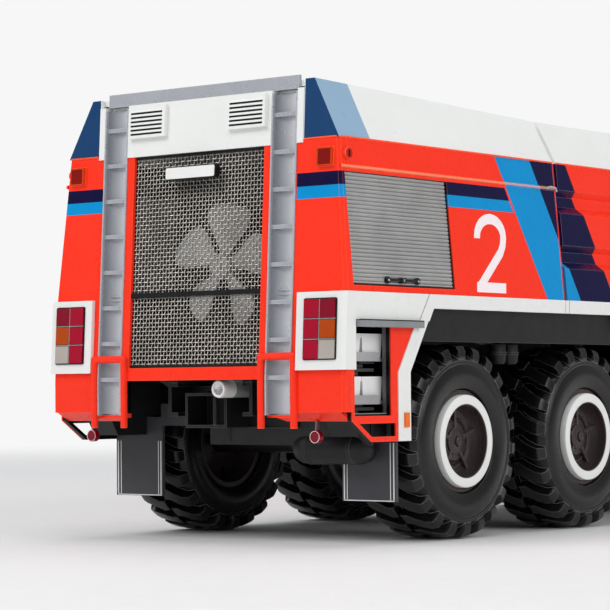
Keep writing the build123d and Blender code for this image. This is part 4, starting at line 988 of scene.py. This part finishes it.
HANDLE_CUP = ((-0.5, 0.01), (-0.5, 1.15), (0.35, 1.15), (0.55, 0.9), (0.55, 0.01))
HANDLE_STUD = ((0.3, 0.01), (0.75, 0.01), (0.62, 0.38), (0.3, 0.46))
NUMERAL_MIDDLE = 83.2
NUMERAL_FOOT = 80.5
NUMERAL_SLANT = 0.12
STROKE = 1.75  # half the width of the numeral's stroke


def shutter_handle(name, x, z, s0, s1, catch):
    """Bar handle between two cups, with a catch."""
    dark, bright = Shape(), Shape()
    dark.pipe([(x, s0, z), (x, s1, z)], 0.5, 12)
    dark.box(x - 0.7, x + 0.6, catch - 1.3, catch + 1.3, z - 0.85, z + 0.85)
    for station in (s0, s1):
        dark.ring((x, station, z), "x", HANDLE_CUP, 20)
        bright.ring((x, station, z), "x", HANDLE_STUD, 14)
    if name == "shutter":
        bright.box(x + 0.4, x + 0.7, catch - 0.4, catch + 0.4, z - 0.45, z + 0.45)
    pair(name + "_handles", dark, black, bevel=0.1)
    pair(name + "_studs", bright, bezel)


def make_shutter_handles():
    """Handle near the foot of the rear shutter."""
    z = 83.0
    shutter_handle("shutter", side_x(z) + 0.15, z, 23.4, 39.6, 31.5)


def make_mid_handles():
    """Handle of the middle shutter."""
    shutter_handle("mid", BODY_W + 0.2, 42.0, 199.0, 214.0, 206.5)


def make_numeral():
    """A plain fleet numeral as thin white strokes on both sides."""
    track = [(-8.0, 18.2)]
    for step in range(13):
        angle = math.radians(180 - 15 * step)
        track.append((-0.1 + 7.9 * math.cos(angle), 18.9 + 6.2 * math.sin(angle)))
    track += [(7.4, 16.4), (6.0, 13.8), (-6.2, 2.2)]
    left, right = [], []
    for index, (s, z) in enumerate(track):
        before, after = track[max(0, index - 1)], track[min(len(track) - 1, index + 1)]
        along = Vector((after[0] - before[0], after[1] - before[1])).normalized()
        left.append((s - along.y * STROKE, z + along.x * STROKE))
        right.append((s + along.y * STROKE, z - along.x * STROKE))
    strips = [(0.06, [left[i], left[i + 1], right[i + 1], right[i]]) for i in range(len(track) - 1)]
    strips.append((0.10, [(-8.4, 0.0), (8.9, 0.0), (8.9, 3.4), (-8.4, 3.4)]))
    shape = Shape()
    for side in (1, -1):
        for top, strip in strips:
            ends = []
            for out in (0.015, top):
                ends.append([(side * side_x(NUMERAL_FOOT + rise, out),
                              NUMERAL_MIDDLE + side * s + NUMERAL_SLANT * rise - 1.2, NUMERAL_FOOT + rise)
                             for s, rise in strip])
            shape.hull(*ends)
    put("fleet_numeral", shape, decal)


def make_side_trim():
    """Band joint at the seam, eave lips, and the hook at the end of the gutter."""
    band, lip, hook = Shape(), Shape(), Shape()
    band.box(BODY_W - 1.2, BODY_W + 0.75, SEAM[0] + 0.02, SEAM[1] - 0.25, BAND_Z, WAIST_Z)
    z = EAVE_Z + 0.1
    for start, end in ((rear_y(z, 1.2), SEAM[0]), (SEAM[1], 389.0)):
        lip.pipe([(side_x(z, 0.05), start, z), (side_x(z, 0.05), end, z)], 0.32)
    lip.pipe([(44.6, rear_y(z, -0.05), z), (57.2, rear_y(z, -0.05), z)], 0.3)
    hook.pipe([(side_x(118.2, 0.5), 121.8, 118.4), (side_x(118.6, 0.9), 124.0, 118.9),
               (side_x(118.4, 0.9), 126.8, 118.6), (side_x(117, 0.7), 127.5, 117.4)], 0.4)
    pair("band_joints", band, white, bevel=0.1)
    pair("eave_lips", lip, red)
    pair("gutter_hooks", hook, silver)


def make_locker_fittings():
    """Stowed dark blocks under the shelves and the slot along the ledge."""
    blocks, bar = Shape(), Shape()
    stowed = ((7.0, 14.5, 56.8), (12.5, 22.4, 57.2), (8.5, 17.5, 56.5), (15.0, 23.0, 57.0))
    for foot in (40.4, 52.7):
        for row, (s0, s1, out) in enumerate(stowed):
            low = max(foot + 1.25 * row, 40.7)
            blocks.box(46.5, out, s0, s1, low, low + 1.05)
    bar.box(BODY_W + 2.0, BODY_W + 2.5, 5.4, 39.5, 69.9, 70.3)
    bar.box(BODY_W, BODY_W + 0.6, 5.4, 39.5, 69.9, 70.35)
    pair("locker_blocks", blocks, interior, bevel=0.1)
    pair("ledge_bars", bar, black, bevel=0.08)


# Cab and front

PANE_TOP = 124.0
LAMP_RIM = ((0, 4.25), (1.5, 4.25), (2.0, 4.45), (2.0, 4.75), (1.4, 4.95), (0, 4.95))
LAMP_CORE = ((0, 2.0), (0.25, 2.1), (0.25, 2.3), (0, 2.4))
FOG_LAMP = ((-0.6, 0.01), (-0.6, 3.6), (0.5, 3.6), (0.7, 3.4), (0.7, 3.1), (0.3, 2.9), (0.3, 0.01))


def make_screen_trim():
    """Rubber round the windscreen, its pillar, and three wipers."""
    seal, arms = Shape(), Shape()
    corners = [(-53.2, 88.3), (53.2, 88.3), (53.2, 131.7), (-53.2, 131.7)]
    path = []
    for (x, z), after in zip(corners, corners[1:] + corners[:1]):
        for share in (0.03, 0.97):
            across, high = x + (after[0] - x) * share, z + (after[1] - z) * share
            path.append((across, screen_y(high, 0.15), high))
    seal.pipe(path + path[:1], 0.55)
    seal.pipe([(0, screen_y(88.5), 88.5), (0, screen_y(131.5), 131.5)], 0.6)
    foot = 86.8
    for x in (-44.0, -6.0, 32.0):
        arms.pipe([(x, screen_y(87, -0.4), foot), (x, screen_y(87, 1.3), foot)], 1.0, 14)
        tip = x + 15.0
        arms.pipe([(x, screen_y(87, 1.1), foot), ((x + tip) / 2, screen_y(96, 1.5), 96.0),
                   (tip, screen_y(106, 1.3), 106.0)], 0.35)
        arms.pipe([(tip - 5.0, screen_y(92, 0.75), 92.0), (tip, screen_y(106, 0.85), 106.0),
                   (tip + 5.0, screen_y(120, 0.75), 120.0)], 0.4)
    put("screen_seal", seal, black)
    put("wipers", arms, black)


def make_nose():
    """Slatted air inlets, headlamp rims, indicators and the fittings of the bumper."""
    dark, slats, rims, amber, bumper, plate = (Shape() for _ in range(6))
    dark.prism("y", rounded(6.5, 33.0, 60.6, 73.4, 1.0), CAB_FRONT - 0.2, CAB_FRONT + 0.25)
    slat = [(0, 0), (0.5, -0.5), (0.8, -0.3), (0.4, 0.6), (0, 0.6)]
    for row in range(6):
        z = 61.8 + 2.0 * row
        slats.prism("x", [(CAB_FRONT + out, z + rise) for out, rise in slat], 7.2, 32.3)
    for x in (42.0, 52.0):
        rims.ring((x, CAB_FRONT, 68.0), "y", LAMP_RIM, 40)
        rims.ring((x, CAB_FRONT + 1.6, 68.0), "y", LAMP_CORE, 32)
    amber.prism("y", rounded(58.2, 61.6, 63.5, 72.5, 0.5), CAB_FRONT - 0.1, CAB_FRONT + 0.7)
    bumper.prism("y", rounded(-19.6, 19.6, 44.3, 51.7, 0.8), BUMPER_FRONT - 2.1, BUMPER_FRONT - 1.8)
    for side in (-1, 1):
        bumper.ring((36.0 * side, BUMPER_FRONT, 49.0), "y", FOG_LAMP, 36)
        bumper.hoops((27.0 * side, BUMPER_FRONT + 0.4, 46.0), "x", [0], 0.6, 1.1, 2.2, 28)
    plate.prism("y", rounded(-10.8, 10.8, 45.7, 50.3, 0.5), BUMPER_FRONT - 1.85, BUMPER_FRONT - 1.5)
    pair("inlet_beds", dark, black)
    pair("inlet_slats", slats, chassis, bevel=0.06)
    pair("headlamp_rims", rims, bezel, smooth=40)
    pair("indicators", amber, amber_lens, bevel=0.2)
    put("bumper_fittings", bumper, black, smooth=40)
    put("front_plate", plate, white, bevel=0.1)


def make_beacons():
    """Black feet and a bright ring on the two beacons."""
    spot = (44.0, 455.0, 140.0)
    foot = Shape().ring(spot, "z", [(0, 4.1), (0, 5.0), (0.8, 5.0), (1.4, 4.5), (1.4, 4.1)], 40)
    ring = Shape().hoops(spot, "z", [5.25], 0.25, 4.02, 4.2, 40)
    pair("beacon_feet", foot, black, smooth=40)
    pair("beacon_rings", ring, bezel, smooth=40)


def make_doors():
    """Pane, seal, handle and sill trim of each cab door, riding on the door."""
    s0, s1, z0, z1 = 410.0, 436.0, 91.0, PANE_TOP
    cut = 0.9
    corners = [(s0, z0), (s1, z0), (s1, z1), (s0, z1)]
    loop = [(s0 + cut, z0), (s1 - cut, z0), (s1, z0 + cut), (s1, z1 - cut), (s1 - cut, z1), (s0 + cut, z1),
            (s0, z1 - cut), (s0, z0 + cut), (s0 + cut, z0), (s0 + 2, z0)]
    grips = [(0.02, 0.35, 407.0, 414.6, 80.6, 84.8), (0.9, 1.25, 408.2, 412.8, 82.1, 83.3)]
    grips += [(0.02, 0.5, 407.5, 439.0, z, z + 1.0) for z in (45.0, 47.0, 49.0)]
    for side, label in ((1, "right"), (-1, "left")):
        pane, seal, grip = Shape(), Shape(), Shape()
        pane.hull(*([(side * cab_x(z, out), s, z) for s, z in corners] for out in (-1.7, -0.8)))
        seal.pipe([(side * cab_x(z, -0.1), s, z) for s, z in loop], 0.5)
        for near, far, *rest in grips:
            grip.box(side * (BODY_W + near), side * (BODY_W + far), *rest)
        for kind, shape, material, bevel in (("pane", pane, glass, 0.0), ("seal", seal, black, 0.0),
                                             ("grip", grip, black, 0.12)):
            put("door_%s_%s" % (kind, label), shape, material, body="cab_door_" + label, bevel=bevel)


def make_cab_sides():
    """Side pane seals, steps under the doors, grab rails, mirror glass and vents behind the doors."""
    seal, step, rail, mirror, vent = (Shape() for _ in range(5))
    corners = [(447.0, 88.0), (470.0, 88.0), (470.0, PANE_TOP), (447.0, PANE_TOP), (447.0, 88.0)]
    seal.pipe([(cab_x(z, 0.05), s, z) for s, z in corners], 0.5)
    step.box(BODY_W - 0.4, BODY_W + 0.7, 406.5, 440.5, 38.2, 41.4)
    for groove in range(10):
        start = 408.0 + 3.2 * groove
        step.box(BODY_W + 0.6, BODY_W + 0.95, start, start + 1.6, 39.0, 40.6)
    for s in (444.6, 401.6):
        rail.pipe([(BODY_W + 0.1, s, 54.0), (BODY_W + 1.7, s, 55.2), (BODY_W + 1.7, s, 81.0),
                   (BODY_W + 0.1, s, 82.2)], 0.55, 10)
    mirror.prism("y", rounded(BODY_W + 2.8, BODY_W + 11.2, 93.0, 115.0, 1.0), 477.75, 478.1)
    for row in range(5):
        z = 96.0 + 2.2 * row
        vent.box(cab_x(z, -0.3), cab_x(z, 0.25), 394.8, 402.4, z, z + 1.1)
    pair("side_seals", seal, black)
    pair("cab_steps", step, chassis, bevel=0.12)
    pair("grab_rails", rail, black)
    pair("mirror_glass", mirror, bezel)
    pair("cab_vents", vent, black)


# Roof

HATCH = ((-0.2, 0.01), (-0.2, 12.0), (0.9, 12.0), (1.3, 11.4), (1.3, 9.6), (2.0, 9.0), (2.3, 0.01))
TREAD_PITCH = 20.5
MONITOR = (0.0, 425.0, 153.3)  # the barrel's hinge
MUZZLE = ((44.0, 3.62), (44.0, 3.95), (47.6, 3.95), (47.9, 3.7), (47.9, 3.0), (44.5, 3.0))
BREECH = ((-4.9, 0.01), (-4.9, 2.0), (-4.4, 2.9), (-2.0, 2.9), (-1.6, 2.55), (-1.6, 0.01))


def make_roof_fittings():
    """Filler hatches, tread strips and lifting eyes on the tank roof."""
    hatch, tread, eye = Shape(), Shape(), Shape()
    top = ROOF_TOP
    for s in (185.0, 262.0, 339.0):
        hatch.ring((0, s, top), "z", HATCH, 56)
        for x in (-10.8, 10.8):
            hatch.box(x - 1.2, x + 1.2, s - 1.5, s + 1.5, top + 1.0, top + 2.6)
        hatch.pipe([(x, s, top + rise) for x, rise in ((-3, 2.2), (-3, 3.4), (3, 3.4), (3, 2.2))], 0.45)
    for x in (20.0, 33.0):
        for part in range(12):
            start = 140.0 + TREAD_PITCH * part
            tread.box(x, x + 8.0, start, start + 19.0, top - 0.1, top + 0.35)
            for rib in range(9):
                s = start + 1.0 + 2.0 * rib
                tread.box(x + 0.6, x + 7.4, s, s + 0.8, top + 0.3, top + 0.6)
    for s in (148.0, 376.0):
        eye.hoops((15.0, s, top + 1.2), "x", [0], 0.5, 1.0, 2.2, 28)
    put("roof_hatches", hatch, can_white, smooth=40)
    pair("roof_treads", tread, interior)
    pair("roof_eyes", eye, silver)


def make_monitor_trim():
    """Nozzle ring, breech and bands on the roof monitor's barrel, and collar bolts on its turret."""
    ends = Shape().ring(MONITOR, "y", MUZZLE, 40).ring(MONITOR, "y", BREECH, 40)
    bands = Shape().hoops(MONITOR, "y", (9.7, 22.7, 36.7), 0.7, 2.58, 2.95)
    bolts = Shape().bolts((0, MONITOR[1], 0), "z", 7.4, 12, 144.2, 145.0, 0.55)
    put("barrel_ends", ends, black, body="roof_monitor_barrel", smooth=40)
    put("barrel_bands", bands, bezel, body="roof_monitor_barrel", smooth=40)
    put("turret_bolts", bolts, bezel, body="roof_monitor_turret")


# Stage and camera

CAMERA = (517.8, -595.9, 47.8)
YAW = math.radians(38.296)
PITCH = math.radians(2.046)
ROLL = math.radians(-0.475)
FOCAL_PX = 2423.8
PHOTO_PX = 610.0
BACKDROP = (0.93, 0.93, 0.93, 1)
FLOOR_FADE = (0.45, 1.5)  # metres from the middle over which the floor turns into the backdrop
FLOOR_REACH = 12.0


def make_camera():
    forward = Vector((-math.sin(YAW) * math.cos(PITCH), math.cos(YAW) * math.cos(PITCH), math.sin(PITCH)))
    level = Vector((math.cos(YAW), math.sin(YAW), 0))
    up = level.cross(forward)
    right = level * math.cos(ROLL) + up * math.sin(ROLL)
    up = right.cross(forward)
    data = bpy.data.cameras.new("camera")
    data.lens = FOCAL_PX / PHOTO_PX * data.sensor_width
    data.clip_start = 0.05
    data.clip_end = 50
    camera = show("camera", data)
    turn = Matrix((right, up, -forward)).transposed().to_4x4()
    camera.matrix_world = Matrix.Translation(place(*CAMERA)) @ turn
    bpy.context.scene.camera = camera


def soft_light(name, spot, aim, size, power):
    data = bpy.data.lights.new(name, "AREA")
    data.shape = "RECTANGLE"
    data.size, data.size_y = size
    data.energy = power
    light = show(name, data)
    light.location = spot
    light.rotation_mode = "QUATERNION"
    light.rotation_quaternion = (Vector(aim) - Vector(spot)).to_track_quat("-Z", "Y")


def blend(tree, factor, first, second, output):
    """Mix two shaders into a tree's output."""
    mix = tree.nodes.new("ShaderNodeMixShader")
    for source, target in zip((factor, first.outputs[0], second.outputs[0]), mix.inputs):
        tree.links.new(source, target)
    tree.links.new(mix.outputs[0], tree.nodes[output].inputs["Surface"])


def make_floor():
    """A pale floor that turns into the backdrop's flat tone away from the truck."""
    mesh = bpy.data.meshes.new("floor")
    corners = [(x * FLOOR_REACH, y * FLOOR_REACH, 0) for x, y in ((-1, -1), (1, -1), (1, 1), (-1, 1))]
    mesh.from_pydata(corners, [], [(0, 1, 2, 3)])
    floor = show("floor", mesh)
    graph = Graph("floor_pale", (0.80, 0.80, 0.80))
    finish(graph, rough=0.6, drift=0.01, grain=3.0)
    reach = graph.node("ShaderNodeVectorMath")
    reach.operation = "LENGTH"
    graph.link(graph.texture, reach.inputs[0])
    ease = graph.spread(reach.outputs["Value"], *FLOOR_FADE, smooth=True)
    glow = graph.node("ShaderNodeEmission")
    glow.inputs["Color"].default_value = BACKDROP
    blend(graph.tree, ease, graph.shader, glow, "Material Output")
    mesh.materials.append(graph.material)


def make_stage():
    """Floor, three soft lights, and a world that looks like the backdrop to the camera alone."""
    make_floor()
    soft_light("key", (-0.5, -1.7, 1.5), (0, -0.15, 0.08), (1.6, 1.2), 26)
    soft_light("side", (2.1, -0.3, 1.1), (0, -0.1, 0.08), (1.8, 1.2), 22)
    soft_light("top", (0.0, 0.3, 2.2), (0, 0, 0), (2.0, 2.0), 18)
    world = bpy.data.worlds.new("studio")
    world.use_nodes = True
    tree = world.node_tree
    lit, seen = tree.nodes["Background"], tree.nodes.new("ShaderNodeBackground")
    for back, colour, strength in ((lit, (0.9, 0.92, 0.95, 1), 0.38), (seen, BACKDROP, 1.0)):
        back.inputs["Color"].default_value = colour
        back.inputs["Strength"].default_value = strength
    path = tree.nodes.new("ShaderNodeLightPath")
    blend(tree, path.outputs["Is Camera Ray"], lit, seen, "World Output")
    bpy.context.scene.world = world
    bpy.context.scene.view_settings.view_transform = "Standard"


dress_nodes()
make_wheels()
make_grille()
make_fan()
make_vents()
make_plate()
make_ladder_trim()
make_tail_lamps()
make_work_lamp()
make_flap_lines()
make_underside()
make_bay_screens()
make_air_chambers()
make_shutter_handles()
make_numeral()
make_side_trim()
make_locker_fittings()
make_screen_trim()
make_nose()
make_beacons()
make_doors()
make_cab_sides()
make_roof_fittings()
make_monitor_trim()
make_mid_handles()
make_stage()
make_camera()
